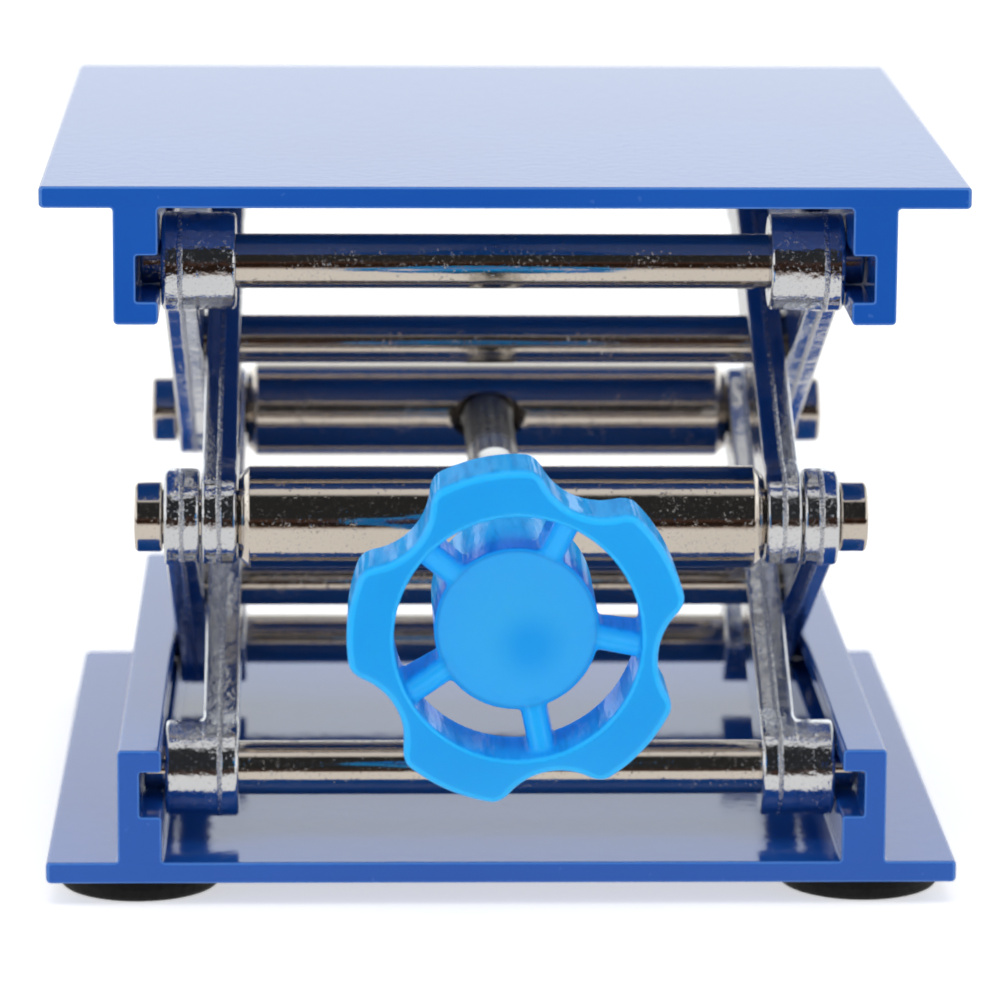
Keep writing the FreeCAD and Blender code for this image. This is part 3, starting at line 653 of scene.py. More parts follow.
def zinc_steel(looks):
    grain = looks.noise(scale=700.0, detail=3.0, rough=0.6, stretch=(1.0, 0.3, 1.0))
    stain = looks.noise(scale=55.0, detail=3.0, rough=0.6, seed=2.2).ramp(over=(0.35, 0.7))
    color = looks.mix((0.60, 0.61, 0.63), over=(0.68, 0.68, 0.69), amount=stain)
    rough = grain.ramp(to=(0.18, 0.32))
    looks.surface(color=color, metal=1.0, rough=rough, normal=looks.relief((grain, 0.000002)))


def wheel_plastic(looks):
    """Half-clear blue plastic: a matt disc with painted shade on the hub's front, streaked walls with
    painted reflections, painted bright edges and a painted glow.
    """
    x, y, z = looks.split(looks.here)
    # millimetres from the wheel's axis, and behind the rim's front
    across = x * 1000.0
    up = z * 1000.0 - MID_Z
    from_axis = (across * across + up * up).power(0.5)
    behind = y * 1000.0 - RIM_FRONT
    disc = from_axis.ramp(over=(8.0, 8.2), to=(1.0, 0.0))
    disc = disc * behind.ramp(over=(5.0, 5.2), to=(1.0, 0.0))
    # painted shade: a darker ring coloured round the rounded edge of the matt disc
    ring = (from_axis - 8.2).abs().ramp(over=(0.05, 0.50), to=(1.0, 0.0))
    ring = ring * behind.ramp(over=(5.2, 5.6), to=(1.0, 0.0))
    flow = looks.noise(scale=60.0, seed=4.4)
    # streaks drawn by the mould along the wheel's axis
    streak = looks.noise(scale=520.0, detail=3.0, rough=0.62, stretch=(1.0, 0.14, 1.0), seed=1.1)
    fine = looks.noise(scale=1900.0, detail=1.0, seed=6.6)
    grain = looks.noise(scale=2400.0, rough=0.6, seed=6.0)
    color = looks.mix((0.0150, 0.345, 0.800), over=(0.0180, 0.368, 0.830), amount=flow.ramp())
    # painted shade on the matt disc where the screw's head sits behind the thin skin, a little right
    # of and below the axis
    head_x = across - 1.4
    head_z = up + 1.7
    from_head = (head_x * head_x + head_z * head_z).power(0.5)
    shadow = from_head.ramp(over=(0.6, 4.6), to=(0.95, 0.0))
    matt = looks.mix((0.038, 0.430, 0.870), over=(0.008, 0.345, 0.840), amount=shadow)
    color = looks.mix(color, over=matt, amount=disc)
    color = looks.mix(color, over=(0.004, 0.190, 0.60), amount=ring * 0.55)
    facing = looks.normal_y().abs()
    wall = facing.ramp(over=(0.30, 0.75), to=(1.0, 0.0))
    # painted highlight: the rounded edges away from the disc are coloured paler and glow a little
    edge = facing.ramp(over=(0.35, 0.75)) * facing.ramp(over=(0.955, 0.995), to=(1.0, 0.0))
    edge = edge * (1.0 - disc)
    # painted reflections: lighter and darker streaks coloured into the walls
    inner = looks.noise(scale=1250.0, rough=0.55, stretch=(1.0, 0.10, 1.0), seed=8.1)
    painted_light_reflections = wall * inner.ramp(over=(0.50, 0.66)) * 0.32
    painted_dark_reflections = wall * inner.ramp(over=(0.48, 0.34)) * 0.28
    color = looks.mix(color, over=(0.050, 0.46, 0.92), amount=painted_light_reflections)
    color = looks.mix(color, over=(0.002, 0.12, 0.42), amount=painted_dark_reflections)
    color = looks.mix(color, over=(0.030, 0.50, 0.96), amount=edge * 0.5)
    # painted glow: the walls and edges emit light of their own, standing in for light coming through
    # the plastic
    glow = looks.mix((0.004, 0.15, 0.40), over=(0.02, 0.42, 0.80), amount=edge)
    gloss = streak.ramp(to=(0.05, 0.11)) + (1.0 - wall) * 0.05
    rough = gloss * (1.0 - disc) + grain.ramp(to=(0.30, 0.38)) * disc
    outside = looks.principled(
        color=color,
        rough=rough,
        ior=1.34,
        normal=looks.relief((streak * wall, 0.000100), (fine, 0.0000008)),
        under=0.35,
        under_radius=(0.6, 1.4, 2.4),
        under_scale=0.0012,
        glow=glow,
        glow_strength=wall * 0.26 + edge * 0.06,
        spec=0.5 - wall * 0.22,
    )
    # painted glow inside the walls: a diffuse layer with emission of its own
    deep = looks.shader("BsdfDiffuse", {"Color": color})
    lit = looks.shader("Emission", {"Color": glow, "Strength": 0.38})
    inside = looks.shader("AddShader", {0: deep, 1: lit})
    looks.output(looks.shader("MixShader", {0: wall * 0.44, 1: outside, 2: inside}))


def foot_rubber(looks):
    grain = looks.noise(scale=1500.0, detail=4.0, rough=0.6)
    dust = looks.noise(scale=120.0, detail=3.0, rough=0.6, seed=3.0).ramp(over=(0.45, 0.8))
    color = looks.mix((0.0016, 0.0016, 0.0018), over=(0.0040, 0.0040, 0.0044), amount=dust)
    rough = grain.ramp(to=(0.55, 0.72))
    looks.surface(color=color, rough=rough, ior=1.36, normal=looks.relief((grain, 0.00002)))


def build_material(build):
    material = bpy.data.materials.new(build.__name__)
    build(Looks(material))
    return material


MATERIALS = {
    build.__name__: build_material(build)
    for build in (
        blue_finish, plated_casting, polished_nickel, screw_steel, zinc_steel, wheel_plastic,
        foot_rubber,
    )
}


def finish_piece(piece, node):
    """Gives a finished piece its material and lets it ride in place of its CAD node."""
    piece.data.materials.clear()
    piece.data.materials.append(MATERIALS[slot_of[node]])
    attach(piece, body_of[node])
    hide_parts(node)


# ---------------------------------------------------------------- plates
FLOOR_THICK = 2.35
RAIL_OUTER, RAIL_INNER = 42.1, 37.3  # x of a rail's faces
GROOVE_FLOOR_X = 39.7
GROOVE_MIDDLE, GROOVE_HALF = 10, 2.525  # height above the plate's flat face
END_SOFT = 0.28  # rounding of the sawn ends
PLAN_CORNER = 0.6  # rounding of the plan corners
PLAN_SHARE = 0.9  # part of that rounding's inset that is taken
PLAN_BLEND = 0.15  # width over which the inset sets in
PLATE_STATIONS = (0.6, 0.9, 1.2, 1.6, 6.0, 25.0)
# a countersunk screw hole through a rail: (along, radius)
RAIL_HOLE = [(36.0, 0), (36.0, 1.6), (40.62, 1.6), (41.85, 2.83), (43.5, 2.83), (43.5, 0)]


def rounding_inset(depth, radius):
    """How far a rounded edge lies inside its sharp one, at a depth from the end."""
    drop = radius - np.sqrt(np.maximum(radius * radius - (radius - depth) ** 2, 0))
    return np.where(depth < radius, drop, 0)


def plate(node, upside_down):
    """A flat plate with a rail along each side, grooved on its inner face."""
    low, high = box(node)
    width = (high[0] - low[0]) / 2
    tall = high[2] - low[2]
    groove_low, groove_top = GROOVE_MIDDLE - GROOVE_HALF, GROOVE_MIDDLE + GROOVE_HALF
    right = [  # (x, z, rounding)
        (width, 0, 0.45), (width, FLOOR_THICK, 0.45), (RAIL_OUTER, FLOOR_THICK, 0.35),
        (RAIL_OUTER, tall, 0.5), (RAIL_INNER, tall, 0.5), (RAIL_INNER, groove_top, 0.35),
        (GROOVE_FLOOR_X, groove_top, 0.25), (GROOVE_FLOOR_X, groove_low, 0.25),
        (RAIL_INNER, groove_low, 0.35), (RAIL_INNER, FLOOR_THICK, 0.35),
    ]
    section = right + [(-x, z, rounding) for x, z, rounding in reversed(right)]
    # walked clockwise seen from -Y, so that the solid lies on the right
    points, faces = extrusion(section[::-1], low[1], high[1], END_SOFT, PLATE_STATIONS)
    # the plan corners are broken, beyond what the softened ends already take off
    depth = np.minimum(points[:, 1] - low[1], high[1] - points[:, 1])
    inset = rounding_inset(depth, PLAN_CORNER) - rounding_inset(depth, END_SOFT)
    edge = np.clip((np.abs(points[:, 0]) - (width - PLAN_CORNER)) / PLAN_BLEND, 0, 1)
    points[:, 0] -= np.sign(points[:, 0]) * edge * np.maximum(inset, 0) * PLAN_SHARE
    if upside_down:
        points[:, 2] = high[2] - points[:, 2]
        faces = [tuple(reversed(face)) for face in faces]
    else:
        points[:, 2] += low[2]
    piece = mesh_object(node + "_finished", points, faces)
    pivot = (0, REAR_Y, HIGH_Z if upside_down else LOW_Z)
    holes = [lathe("hole", RAIL_HOLE, "x", pivot, 64, mirror=left) for left in (False, True)]
    combine(piece, holes, "DIFFERENCE")
    shade(piece)
    finish_piece(piece, node)


plate("base_plate", False)
plate("top_plate", True)


# ---------------------------------------------------------------- feet
def foot(node):
    """A rubber disc with a shallow round recess underneath."""
    low, high = box(node)
    radius, height = (high[0] - low[0]) / 2, high[2] - low[2]
    middle = ((low[0] + high[0]) / 2, (low[1] + high[1]) / 2, low[2])
    corners = [
        (0.6, 0), (0.6, 2.6, 0.3), (0.0, 3.1, 0.3), (0.0, radius - 0.12, 0.75),
        (height * 0.55, radius, 0.5), (height, radius - 0.15, 0.3), (height, 0),
    ]
    finish_piece(lathe(node + "_finished", corners, "z", middle, 128), node)


for node in ("foot_front_left", "foot_front_right", "foot_rear_left", "foot_rear_right"):
    foot(node)

# ---------------------------------------------------------------- arms
BOSS_FAR = ARM_THICK * 1.5 + 0.2  # the boss's far face, from the arm's middle
WEB_HALF, WEB_DRAFT = 4.3, 0.055  # drafts are a narrowing per millimetre
EYE_RADIUS, EYE_DRAFT = 5.25, 0.03
BOSS_RADIUS, BOSS_DRAFT = 5.325, 0.012
EYE_FILLET, BOSS_FILLET = 1.6, 0.4
ARM_EDGE, BOSS_EDGE, BORE_EDGE = 0.42, 0.38, 0.22  # roundings
ARM_CELL, ARM_MARGIN, ARM_REACH = 0.31, 0.35, 5.8  # the grid the arm is skinned on


@functools.lru_cache(maxsize=None)
def arm_skin(boss_at, bores):
    """One cast arm: x through its thickness towards the boss, y from pivot to pivot, z across.

    boss_at is 0 for a boss at the front pivot and 1 for the rear; bores are the radii of the
    holes at the front pivot, the middle and the rear pivot.
    """

    def field(x, y, z):
        off_middle = np.abs(x)
        web = np.abs(z) - (WEB_HALF - off_middle * WEB_DRAFT)
        plan = np.maximum(web, np.maximum(-y, y - ARM_LENGTH))
        for end in (0.0, ARM_LENGTH):
            eye = np.hypot(y - end, z) - (EYE_RADIUS - off_middle * EYE_DRAFT)
            plan = soft_min(plan, eye, EYE_FILLET)
        solid = soft_max(plan, off_middle - ARM_HALF, ARM_EDGE)
        boss_radius = BOSS_RADIUS - np.abs(x - ARM_HALF) * BOSS_DRAFT
        boss = soft_max(
            np.hypot(y - boss_at * ARM_LENGTH, z) - boss_radius,
            np.abs(x - (BOSS_FAR - ARM_HALF) / 2) - (BOSS_FAR + ARM_HALF) / 2,
            BOSS_EDGE,
        )
        solid = soft_min(solid, boss, BOSS_FILLET)
        for i, bore in enumerate(bores):
            solid = soft_max(solid, bore - np.hypot(y - i * ARM_LENGTH / 2, z), BORE_EDGE)
        return solid

    low = (-ARM_HALF - ARM_MARGIN, -ARM_REACH, -ARM_REACH)
    high = (BOSS_FAR + ARM_MARGIN, ARM_LENGTH + ARM_REACH, ARM_REACH)
    return skin(field, low, high, ARM_CELL)


def arm(node, outer, left, front_z, falls, boss_at, bores):
    """An arm from its front pivot, at height front_z, rising or falling to the rear."""
    points, quads, normals = arm_skin(boss_at, bores)
    side = -1.0 if left else 1.0
    # the boss points outward on an inner arm and inward on an outer arm
    boss_way = (-1.0 if outer else 1.0) * side
    angle = -ARM_ANGLE if falls else ARM_ANGLE
    cos, sin = math.cos(angle), math.sin(angle)
    origin = np.array([(OUTER_MIDDLE if outer else INNER_MIDDLE) * side, FRONT_Y, front_z])

    def aimed(vectors):
        x, y, z = vectors.T
        return np.column_stack([x * boss_way, y * cos - z * sin, y * sin + z * cos])

    faces = quads if boss_way > 0 else quads[:, ::-1]
    piece = mesh_object(
        node + "_finished", aimed(points) + origin, faces.tolist(), normals=aimed(normals)
    )
    # places inside the casting; "across" always runs the same way up
    across = points[:, 2] * (-1.0 if falls else 1.0)
    for name, values in (("through", points[:, 0]), ("along", points[:, 1]), ("across", across)):
        attribute = piece.data.attributes.new(name, "FLOAT", "POINT")
        attribute.data.foreach_set("value", values.astype(np.float32))
    finish_piece(piece, node)


# name, outer, height of the front pivot, falls to the rear, boss end, bore radii
ARMS = (
    ("lower_inner_arm_", False, LOW_Z, False, 0, (3.01, 2.85, 3.05)),
    ("lower_outer_arm_", True, MID_Z, True, 1, (3.05, 2.81, 3.05)),
    ("upper_outer_arm_", True, HIGH_Z, True, 0, (3.01, 2.81, 3.05)),
    ("upper_inner_arm_", False, MID_Z, False, 1, (3.05, 2.85, 3.05)),
)
for side, left in (("left", True), ("right", False)):
    for name, outer, front_z, falls, boss_at, bores in ARMS:
        arm(name + side, outer, left, front_z, falls, boss_at, bores)

# ---------------------------------------------------------------- shafts
SHAFT_STEP = OUTER_FACE - 0.05  # just inside the outer arms' faces
SHAFT_END = 39.5
SHAFT_RADIUS, JOURNAL_RADIUS, CENTRE_RADIUS = 3.0, 2.4, 2.8
# (along, radius, rounding)
PLAIN_END = [(SHAFT_END, 0, 0)]
TAPPED_END = [(SHAFT_END, 1.51, 0.1), (33.8, 1.51, 0.0), (33.0, 0, 0)]


def shaft(node, y, z, half):
    finish_piece(lathe(node + "_finished", both_ways(half), "x", (0, y, z), 128), node)


STEPPED = [
    (SHAFT_STEP, SHAFT_RADIUS, 0.12), (SHAFT_STEP, JOURNAL_RADIUS, 0.12),
    (SHAFT_END, JOURNAL_RADIUS, 0.35),
]
shaft("base_front_shaft", FRONT_Y, LOW_Z, STEPPED + PLAIN_END)
shaft("top_front_shaft", FRONT_Y, HIGH_Z, STEPPED + PLAIN_END)
shaft("base_rear_shaft", REAR_Y, LOW_Z, STEPPED + TAPPED_END)
shaft("top_rear_shaft", REAR_Y, HIGH_Z, STEPPED + TAPPED_END)

STRAIGHT = [(SHAFT_STEP, CENTRE_RADIUS, 0.4), (SHAFT_STEP, 0, 0)]
shaft("lower_centre_shaft", CENTRE_Y, LOW_CENTRE_Z, STRAIGHT)
shaft("upper_centre_shaft", CENTRE_Y, HIGH_CENTRE_Z, STRAIGHT)

# ---------------------------------------------------------------- crossbars
BAR_END, BAR_RADIUS, BAR_CHAMFER = 28.95, 5.65, 1.2
TAP_RADIUS, TAP_DEPTH, TAP_POINT = 2.01, 8.8, 10.0  # screw hole in each end
BAR_HALF = [  # (along, radius, rounding)
    (4.9, BAR_RADIUS, 0), (7.0, BAR_RADIUS, 0), (BAR_END - BAR_CHAMFER, BAR_RADIUS, 0.35),
    (BAR_END, BAR_RADIUS - BAR_CHAMFER, 0.25), (BAR_END, TAP_RADIUS, 0.12),
    (BAR_END - TAP_DEPTH, TAP_RADIUS, 0), (BAR_END - TAP_POINT, 0, 0),
]
# cutters along Y from the bar's middle: (along, radius)
SCREW_BORE = [(-9, 0), (-9, 3.05), (9, 3.05), (9, 0)]
FLAT_SEAT = [(3.0, 0), (3.0, 4.5), (9.0, 4.5), (9.0, 0)]
COUNTERSINK_FLOOR = BAR_RADIUS - 0.84
COUNTERSINK = [
    (COUNTERSINK_FLOOR, 0), (COUNTERSINK_FLOOR, 3.05), (BAR_RADIUS, 4.5), (9.0, 4.5), (9.0, 0),
]


def crossbar(node, y, mouth, mirrors):
    """A bar bored for the lead screw; its mouth is cut at the front where mirrored."""
    middle = (0, y, MID_Z)
    piece = lathe(node + "_finished", both_ways(BAR_HALF), "x", middle, 144)
    cutters = [lathe("hole", SCREW_BORE, "y", middle, 96)]
    cutters += [lathe("spot", mouth, "y", middle, 96, mirror=mirror) for mirror in mirrors]
    combine(piece, cutters, "DIFFERENCE")
    shade(piece, 25)
    finish_piece(piece, node)


crossbar("front_crossbar", FRONT_Y, FLAT_SEAT, (True, False))
crossbar("rear_crossbar", REAR_Y, COUNTERSINK, (True,))

# ---------------------------------------------------------------- pivot screws
HEAD_FACE = 40.35
SOCKET_DEPTH, SOCKET_RADIUS = 1.6, 1.443  # the radius reaches the hexagon's corners
PIVOT_SCREW = [  # (along, radius, rounding)
    (20.95, 0, 0), (20.95, 1.6, 0.0), (21.35, 2.0, 0.0), (28.95, 2.0, 0.0), (28.95, 3.0, 0.15),
    (37.3, 3.0, 0.1), (37.3, 3.85, 0.32), (HEAD_FACE, 3.85, 0.42), (HEAD_FACE, 0, 0),
]


def pivot_screw(node, y, left):
    """A shouldered screw with a hexagon socket in its head."""
    middle = (0, y, MID_Z)
    piece = lathe(node + "_finished", PIVOT_SCREW, "x", middle, 112, mirror=left)
    low, high = side_span(HEAD_FACE - SOCKET_DEPTH, 42.0, left)
    key = prism("key", hexagon(SOCKET_RADIUS, 30), low, high, "x", middle)
    combine(piece, [key], "DIFFERENCE")
    shade(piece, 28)
    finish_piece(piece, node)


for row, y in (("front", FRONT_Y), ("rear", REAR_Y)):
    for side, left in (("left", True), ("right", False)):
        pivot_screw("%s_pivot_screw_%s" % (row, side), y, left)

# ---------------------------------------------------------------- rail screws
RAIL_SCREW = [  # (along, radius, rounding)
    (34.6, 0, 0), (34.6, 1.2, 0), (34.9, 1.5, 0), (40.55, 1.5, 0.1), (41.85, 2.8, 0.08),
    (42.08, 2.8, 0.08), (42.08, 0, 0),
]
CROSS_FLOOR, CROSS_END = 41.2, 43.0  # the cross slot's depth along X
CROSS_LONG, CROSS_SHORT = 1.3, 0.3  # half sizes of each arm of the cross


def rail_screw(z, left):
    """A countersunk screw with a cross slot."""
    middle = (0, REAR_Y, z)
    piece = lathe("screw", RAIL_SCREW, "x", middle, 96, mirror=left)
    low, high = side_span(CROSS_FLOOR, CROSS_END, left)
    slots = []
    for wide, tall in ((CROSS_LONG, CROSS_SHORT), (CROSS_SHORT, CROSS_LONG)):
        outline = [(-wide, -tall), (wide, -tall), (wide, tall), (-wide, tall)]
        slots.append(prism("slot", outline, low, high, "x", middle))
    combine(piece, slots, "DIFFERENCE")
    shade(piece, 28)
    return piece


for node, z in (("base_rear_shaft_screws", LOW_Z), ("top_rear_shaft_screws", HIGH_Z)):
    # both screws are one piece, as in the frame
    piece = merged(node + "_finished", [rail_screw(z, left) for left in (False, True)])
    shade(piece, 28)
    finish_piece(piece, node)

# ---------------------------------------------------------------- lead screw
SCREW_AROUND = 64
SCREW_RADIUS = 3.0
HEX_ACROSS_FLATS = 9.0
SCREW_HEAD = [  # (along, radius, rounding): head end, collar, then the clip's groove
    (HEX_FRONT, 0, 0), (HEX_FRONT, SCREW_RADIUS, 0), (-6.05, SCREW_RADIUS, 0.1),
    (-6.05, 4.3, 0.35), (-3.55, 4.3, 0.35), (-3.55, SCREW_RADIUS, 0.1),
    (3.6, SCREW_RADIUS, 0.05), (3.6, 2.45, 0.05), (4.4, 2.45, 0.05), (4.4, SCREW_RADIUS, 0.05),
    (23.9, SCREW_RADIUS, 0),
]
THREAD_START, THREAD_END, PITCH = 24.0, 74.2, 1.0
LAST_RING = THREAD_END - 0.02
RINGS_PER_PITCH = 16
THREAD_DEPTH = 0.613
ROOT_HALF, FLANK = 0.09, 0.33  # parts of the pitch
RUNOUT = 1.6  # length over which the thread reaches its depth
CREST_DROP, CREST_DROP_LENGTH = 0.05, 1.0
CONE_LENGTH, CONE_DROP, CONE_LEAST = 0.8, 0.8, 2.15  # the pointed end


def thread_radii(along, angles):
    phase = (along / PITCH - angles / (2 * math.pi)) % 1.0
    from_root = np.abs(phase - 0.5)
    depth = THREAD_DEPTH * (1 - np.clip((from_root - ROOT_HALF) / FLANK, 0, 1))
    runout = min(1.0, max(0.0, (along - THREAD_START) / RUNOUT))
    crest = SCREW_RADIUS - CREST_DROP * min(1.0, (along - THREAD_START) / CREST_DROP_LENGTH)
    in_cone = max(0.0, (along - (THREAD_END - CONE_LENGTH)) / CONE_LENGTH)
    cone = SCREW_RADIUS - CREST_DROP - CONE_DROP * in_cone
    return np.minimum(crest - depth * runout, max(cone, CONE_LEAST))


def lead_screw(node):
    """The whole screw: turned head end, collar and clip groove, then a real M6 thread."""
    around = SCREW_AROUND
    along, across, other = AXES["y"]
    spokes, angles = spokes_round(across, other, around)
    profile = []
    for spot, _ in rounded_line(SCREW_HEAD, step=18.0):
        if not profile or math.dist(spot, profile[-1]) > 1e-6:
            profile.append(spot)
    # (place along, radii round it)
    rings = [(place, np.full(around, radius)) for place, radius in profile[1:]]
    length = LAST_RING - THREAD_START
    steps = int(round(length / PITCH * RINGS_PER_PITCH))
    for k in range(steps + 1):
        place = THREAD_START + length * k / steps
        rings.append((place, thread_radii(place, angles)))
    points = [np.array([SCREW_ORIGIN + along * HEX_FRONT])]
    for place, radii in rings:
        points.append(SCREW_ORIGIN + place * along + spokes * radii[:, None])
    points.append(np.array([SCREW_ORIGIN + along * THREAD_END]))

    faces = [(0, 1 + (j + 1) % around, 1 + j) for j in range(around)]
    for k in range(len(rings) - 1):
        base = 1 + k * around
        for j in range(around):
            m = (j + 1) % around
            faces.append((base + j, base + m, base + around + m, base + around + j))
    base = 1 + (len(rings) - 1) * around
    faces += [(base + j, base + (j + 1) % around, base + around) for j in range(around)]
    piece = mesh_object(node + "_finished", np.concatenate(points), faces)
    outline = hexagon(HEX_ACROSS_FLATS / math.sqrt(3), 0)
    head = prism("hexagon", outline, HEX_FRONT, HEX_BACK, "y", SCREW_ORIGIN)
    combine(piece, [head], "UNION")
    shade(piece, 40)
    finish_piece(piece, node)


lead_screw("lead_screw")

# ---------------------------------------------------------------- washers and clip
WASHER_THICK, WASHER_INNER, WASHER_OUTER = 0.5, 3.05, 4.3


def washer(low):
    high = low + WASHER_THICK
    corners = [
        (low, WASHER_INNER, 0.06), (low, WASHER_OUTER, 0.1),
        (high, WASHER_OUTER, 0.1), (high, WASHER_INNER, 0.06),
    ]
    return lathe("ring", corners, "y", SCREW_ORIGIN, 96, closed=True)


piece = merged("thrust_washers_finished", [washer(low) for low in (-3.5, 3.0)])
shade(piece)
finish_piece(piece, "thrust_washers")

CLIP_INNER, CLIP_OUTER, CLIP_HALF_THICK = 2.46, 4.3, 0.35
CLIP_MOUTH_HALF = 2.107
CLIP_HOLE_FROM_AXIS, CLIP_HOLE_RADIUS = 2.924, 0.73
CLIP_HOLE_ANGLES = (35.0, 145.0)  # degrees


def clip_field(x, y, z):
    """A flat ring across Y, open downwards, with two round notches in its inner edge."""
    from_axis = np.hypot(x, z)
    clip = np.maximum(from_axis - CLIP_OUTER, CLIP_INNER - from_axis)
    mouth = np.minimum(CLIP_MOUTH_HALF - np.abs(x), -z)
    clip = soft_max(clip, mouth, 0.15)
    for degrees in CLIP_HOLE_ANGLES:
        hole_x = CLIP_HOLE_FROM_AXIS * math.cos(math.radians(degrees))
        hole_z = CLIP_HOLE_FROM_AXIS * math.sin(math.radians(degrees))
        clip = soft_max(clip, CLIP_HOLE_RADIUS - np.hypot(x - hole_x, z - hole_z), 0.1)
    return soft_max(clip, np.abs(y) - CLIP_HALF_THICK, 0.08)


def skinned_piece(node, field, low, high, cell, origin):
    points, quads, normals = skin(field, low, high, cell)
    points = points + np.array(origin)
    finish_piece(mesh_object(node + "_finished", points, quads.tolist(), normals=normals), node)


clip_low, clip_high = box("retaining_clip")
skinned_piece(
    "retaining_clip", clip_field, low=(-4.6, -0.6, -4.6), high=(4.6, 0.6, 4.6), cell=0.1,
    origin=(0, (clip_low[1] + clip_high[1]) / 2, MID_Z),
)

# ---------------------------------------------------------------- hand wheel
NOTCH_ANGLES = [math.radians(66 + 72 * i) for i in range(5)]  # the spokes share them
NOTCH_FROM_AXIS, NOTCH_RADIUS = 20.95, 6.75
WHEEL_RADIUS, RIM_INNER, RIM_HALF_DEPTH = 17.2, 12.45, 5.1
WHEEL_DRAFT = 0.010
SPOKE_START, SPOKE_END = 7.4, 13.2  # from the axis
SPOKE_FRONT, SPOKE_LEAN, SPOKE_BACK = 4.3, 2.2, 9.6  # the front leans forwards to the rim
SPOKE_SLANT = 0.917  # makes a depth in front of the slanting face a distance from it
SPOKE_HALF, SPOKE_DRAFT, SPOKE_DRAFT_FROM = 1.28, 0.02, 3.6
SEAT_HALF, BORE_RADIUS = 4.51, 3.01


def spoke_field(x, depth, z, angle):
    along = x * math.cos(angle) + z * math.sin(angle)
    aside = -x * math.sin(angle) + z * math.cos(angle)
    front = SPOKE_FRONT - (along - SPOKE_START) * (SPOKE_LEAN / (RIM_INNER - SPOKE_START))
    half = SPOKE_HALF + SPOKE_DRAFT * (depth - SPOKE_DRAFT_FROM)
    spoke = soft_max(np.abs(aside) - half, (front - depth) * SPOKE_SLANT, 1.2)
    spoke = soft_max(spoke, depth - SPOKE_BACK, 0.5)
    spoke = soft_max(spoke, SPOKE_START - along, 0.6)
    return np.maximum(spoke, along - SPOKE_END)


def between(depth, low, high):
    """Negative where a depth lies from low to high."""
    return np.abs(depth - (low + high) / 2) - (high - low) / 2


def wheel_field(x, depth, z):
    """x and z across the wheel, depth back from the rim's front."""
    from_axis = np.hypot(x, z)
    draft = depth * WHEEL_DRAFT
    notches = np.maximum.reduce([
        NOTCH_RADIUS + draft
        - np.hypot(x - NOTCH_FROM_AXIS * math.cos(angle), z - NOTCH_FROM_AXIS * math.sin(angle))
        for angle in NOTCH_ANGLES
    ])
    rim = soft_max(from_axis - (WHEEL_RADIUS - draft), notches, 1.1)
    rim = soft_max(rim, np.abs(depth - RIM_HALF_DEPTH) - RIM_HALF_DEPTH, 0.85)
    rim = soft_max(rim, (RIM_INNER + draft * 0.5) - from_axis, 0.45)
    hub = soft_max(from_axis - HUB_RADIUS, between(depth, HUB_FRONT, HUB_BACK), 0.35)
    spokes = np.minimum.reduce([spoke_field(x, depth, z, angle) for angle in NOTCH_ANGLES])
    wheel = soft_min(np.minimum(rim, hub), spokes, 0.4)
    # the closed seat of the screw's hexagon head and the screw's bore
    flats = np.maximum.reduce([
        np.abs(x * math.cos(angle) + z * math.sin(angle))
        for angle in (math.radians(30 + 60 * i) for i in range(3))
    ])
    seat_front, seat_back = HEX_FRONT + FRONT_Y - RIM_FRONT, HEX_BACK + FRONT_Y - RIM_FRONT
    seat = np.maximum(flats - SEAT_HALF, between(depth, seat_front, seat_back))
    wheel = np.maximum(wheel, -seat)
    bore = np.maximum(from_axis - BORE_RADIUS, seat_front + 0.5 - depth)
    return soft_max(wheel, -bore, 0.15)


skinned_piece(
    "hand_wheel", wheel_field, low=(-18.0, -0.7, -18.0), high=(18.0, 22.6, 18.0), cell=0.3,
    origin=(0, RIM_FRONT, MID_Z),
)

# ---------------------------------------------------------------- floor and backdrop
scene = bpy.context.scene
FLOOR_HALF = 4  # metres
FLOOR_LIFT = 0.56  # light added to the floor as the camera sees it


def studio_floor(looks):
    """White paper; mirrored in the pieces it glows, fading to brown towards the front."""
    y = looks.split(looks.here)[1]
    camera_ray, glossy_ray = looks.light_path()
    mottle = looks.noise(scale=35.0, place=looks.object_place()).ramp()
    paper = looks.mix((0.80, 0.80, 0.815), over=(0.82, 0.82, 0.83), amount=mottle)
    diffuse = looks.shader("BsdfDiffuse", {"Color": paper})
    white = (1.0, 1.0, 1.0)
    lift = looks.shader("Emission", {"Color": white, "Strength": camera_ray * FLOOR_LIFT})
    seen = looks.shader("AddShader", {0: diffuse, 1: lift})
    far = (y * -1.0).ramp(over=(0.13, 0.27))  # metres in front of the origin
    tint = looks.mix((1.0, 0.995, 0.985), over=(0.55, 0.30, 0.20), amount=far)
    glow = looks.shader("Emission", {"Color": tint, "Strength": 0.80 - far * 0.76})
    looks.output(looks.shader("MixShader", {0: glossy_ray, 1: seen, 2: glow}))


floor_mesh = bpy.data.meshes.new("studio_floor")
floor_corners = [(FLOOR_HALF * x, FLOOR_HALF * y, 0) for x, y in ((-1, -1), (1, -1), (1, 1), (-1, 1))]
floor_mesh.from_pydata(floor_corners, [], [(0, 1, 2, 3)])
floor = bpy.data.objects.new("studio_floor", floor_mesh)
scene.collection.objects.link(floor)
floor_mesh.materials.append(build_material(studio_floor))


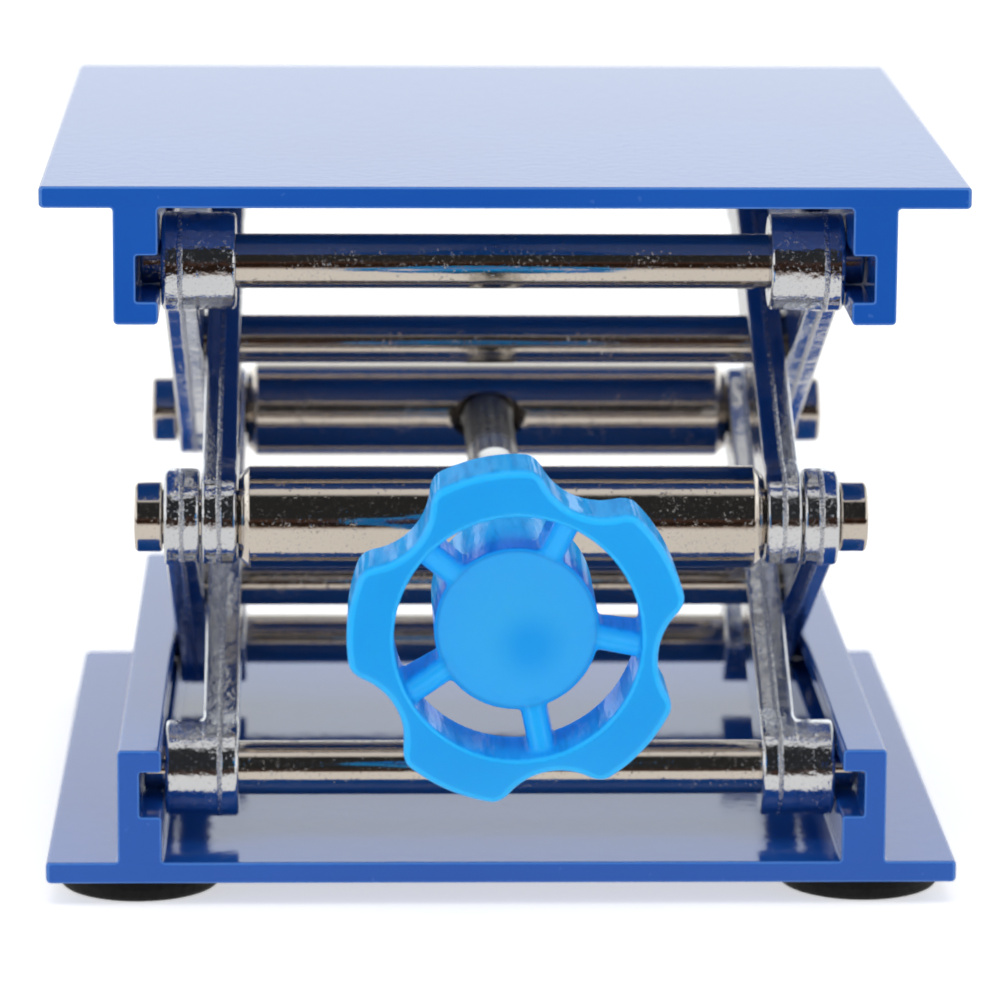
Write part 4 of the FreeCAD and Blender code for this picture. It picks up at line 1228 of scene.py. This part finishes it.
def build_world():
    """A light studio round the jack, which the camera itself sees as plain white."""
    world = bpy.data.worlds.new("studio")
    scene.world = world
    looks = Looks(world)
    x, y, z = looks.split(looks.node("TexCoord").outputs["Generated"])
    overhead = z.ramp(over=(0.84, 0.915)) * 0.72
    sides = x.abs().ramp(over=(0.42, 0.60)) * z.ramp(over=(0.05, 0.75), to=(1.0, 0.82))
    # the white sweep behind the jack is brightest near the table and fades upwards
    behind = (-0.05, 0.12)
    sweep_height = z.ramp(over=(0.12, 0.24), to=(1.21, 1.29))
    sweep_height = sweep_height * z.ramp(over=(0.28, 0.60), to=(1.0, 0.26))
    sweep = y.ramp(over=behind) * sweep_height
    light = overhead.most(sides).most(sweep)
    # the room in front of the jack is dark, with brown woodwork just above the table
    wood = (z - 0.02).abs().ramp(over=(0.0, 0.16), to=(1.0, 0.0)) * 0.035
    strength = light.most(0.026 + wood)
    room_color = looks.mix((0.85, 0.92, 1.0), over=(1.0, 0.48, 0.32), amount=wood * 28.0)
    cool = looks.mix((1.0, 1.0, 1.0), over=(0.985, 1.035, 1.065), amount=y.ramp(over=behind))
    color = looks.mix(room_color, over=cool, amount=light.ramp(over=(0.05, 0.3)))
    camera_ray, _ = looks.light_path()
    studio = looks.shader("Background", {"Color": color, "Strength": strength * 1.05})
    plain = looks.shader("Background", {"Color": (1.0, 1.0, 1.0), "Strength": 1.0})
    seen = looks.shader("MixShader", {0: camera_ray, 1: studio, 2: plain})
    looks.output(seen, kind="OutputWorld")
    world.cycles.sampling_method = "AUTOMATIC"


build_world()


# ---------------------------------------------------------------- lights
def soft_light(name, place, target, size, power):
    """A rectangular light, unseen by the camera and in mirrors (metres and watts)."""
    lamp = bpy.data.lights.new(name, "AREA")
    lamp.shape = "RECTANGLE"
    lamp.size, lamp.size_y = size
    lamp.energy = power
    light = bpy.data.objects.new(name, lamp)
    light.location = place
    light.rotation_mode = "QUATERNION"
    light.rotation_quaternion = (Vector(target) - Vector(place)).to_track_quat("-Z", "Y")
    light.visible_glossy = False
    light.visible_camera = False
    scene.collection.objects.link(light)


soft_light(
    "overhead_softbox", place=(0.0, -0.15, 0.9), target=(0, 0.02, 0.04), size=(0.9, 0.7),
    power=2.2,
)
soft_light(
    "front_softbox", place=(-0.05, -1.2, 0.12), target=(0, 0.0, 0.04), size=(0.7, 0.4),
    power=7.4,
)

# ---------------------------------------------------------------- camera
# metres and radians; the camera stands in front of the plates' middle and looks down on them
CAMERA_PLACE = Vector((-0.018417, PLATE_MIDDLE_Y * MM - 0.640198, 0.170066))
YAW, PITCH_DOWN, ROLL = 0.030359, 0.207956, 0.0061649
FOCUS_DISTANCE = 0.585

lens = bpy.data.cameras.new("camera")
lens.lens = 200.873
lens.sensor_width = 36.0
lens.clip_start = 0.05
lens.clip_end = 20.0
lens.dof.use_dof = True
lens.dof.aperture_fstop = 44.0
camera = bpy.data.objects.new("camera", lens)
level_right = Vector((math.cos(YAW), -math.sin(YAW), 0))
level_ahead = Vector((math.sin(YAW), math.cos(YAW), 0))
up = Vector((0, 0, 1))
sight = level_ahead * math.cos(PITCH_DOWN) - up * math.sin(PITCH_DOWN)
tilted_up = up * math.cos(PITCH_DOWN) + level_ahead * math.sin(PITCH_DOWN)
camera_right = level_right * math.cos(ROLL) + tilted_up * math.sin(ROLL)
camera_up = -level_right * math.sin(ROLL) + tilted_up * math.cos(ROLL)
facing = Matrix((camera_right, camera_up, -sight)).transposed()
camera.matrix_world = Matrix.Translation(CAMERA_PLACE) @ facing.to_4x4()
scene.collection.objects.link(camera)

focus = bpy.data.objects.new("focus", None)
focus.location = CAMERA_PLACE + sight * FOCUS_DISTANCE
scene.collection.objects.link(focus)
lens.dof.focus_object = focus
scene.camera = camera
scene.view_settings.view_transform = "Standard"
scene.view_settings.look = "None"
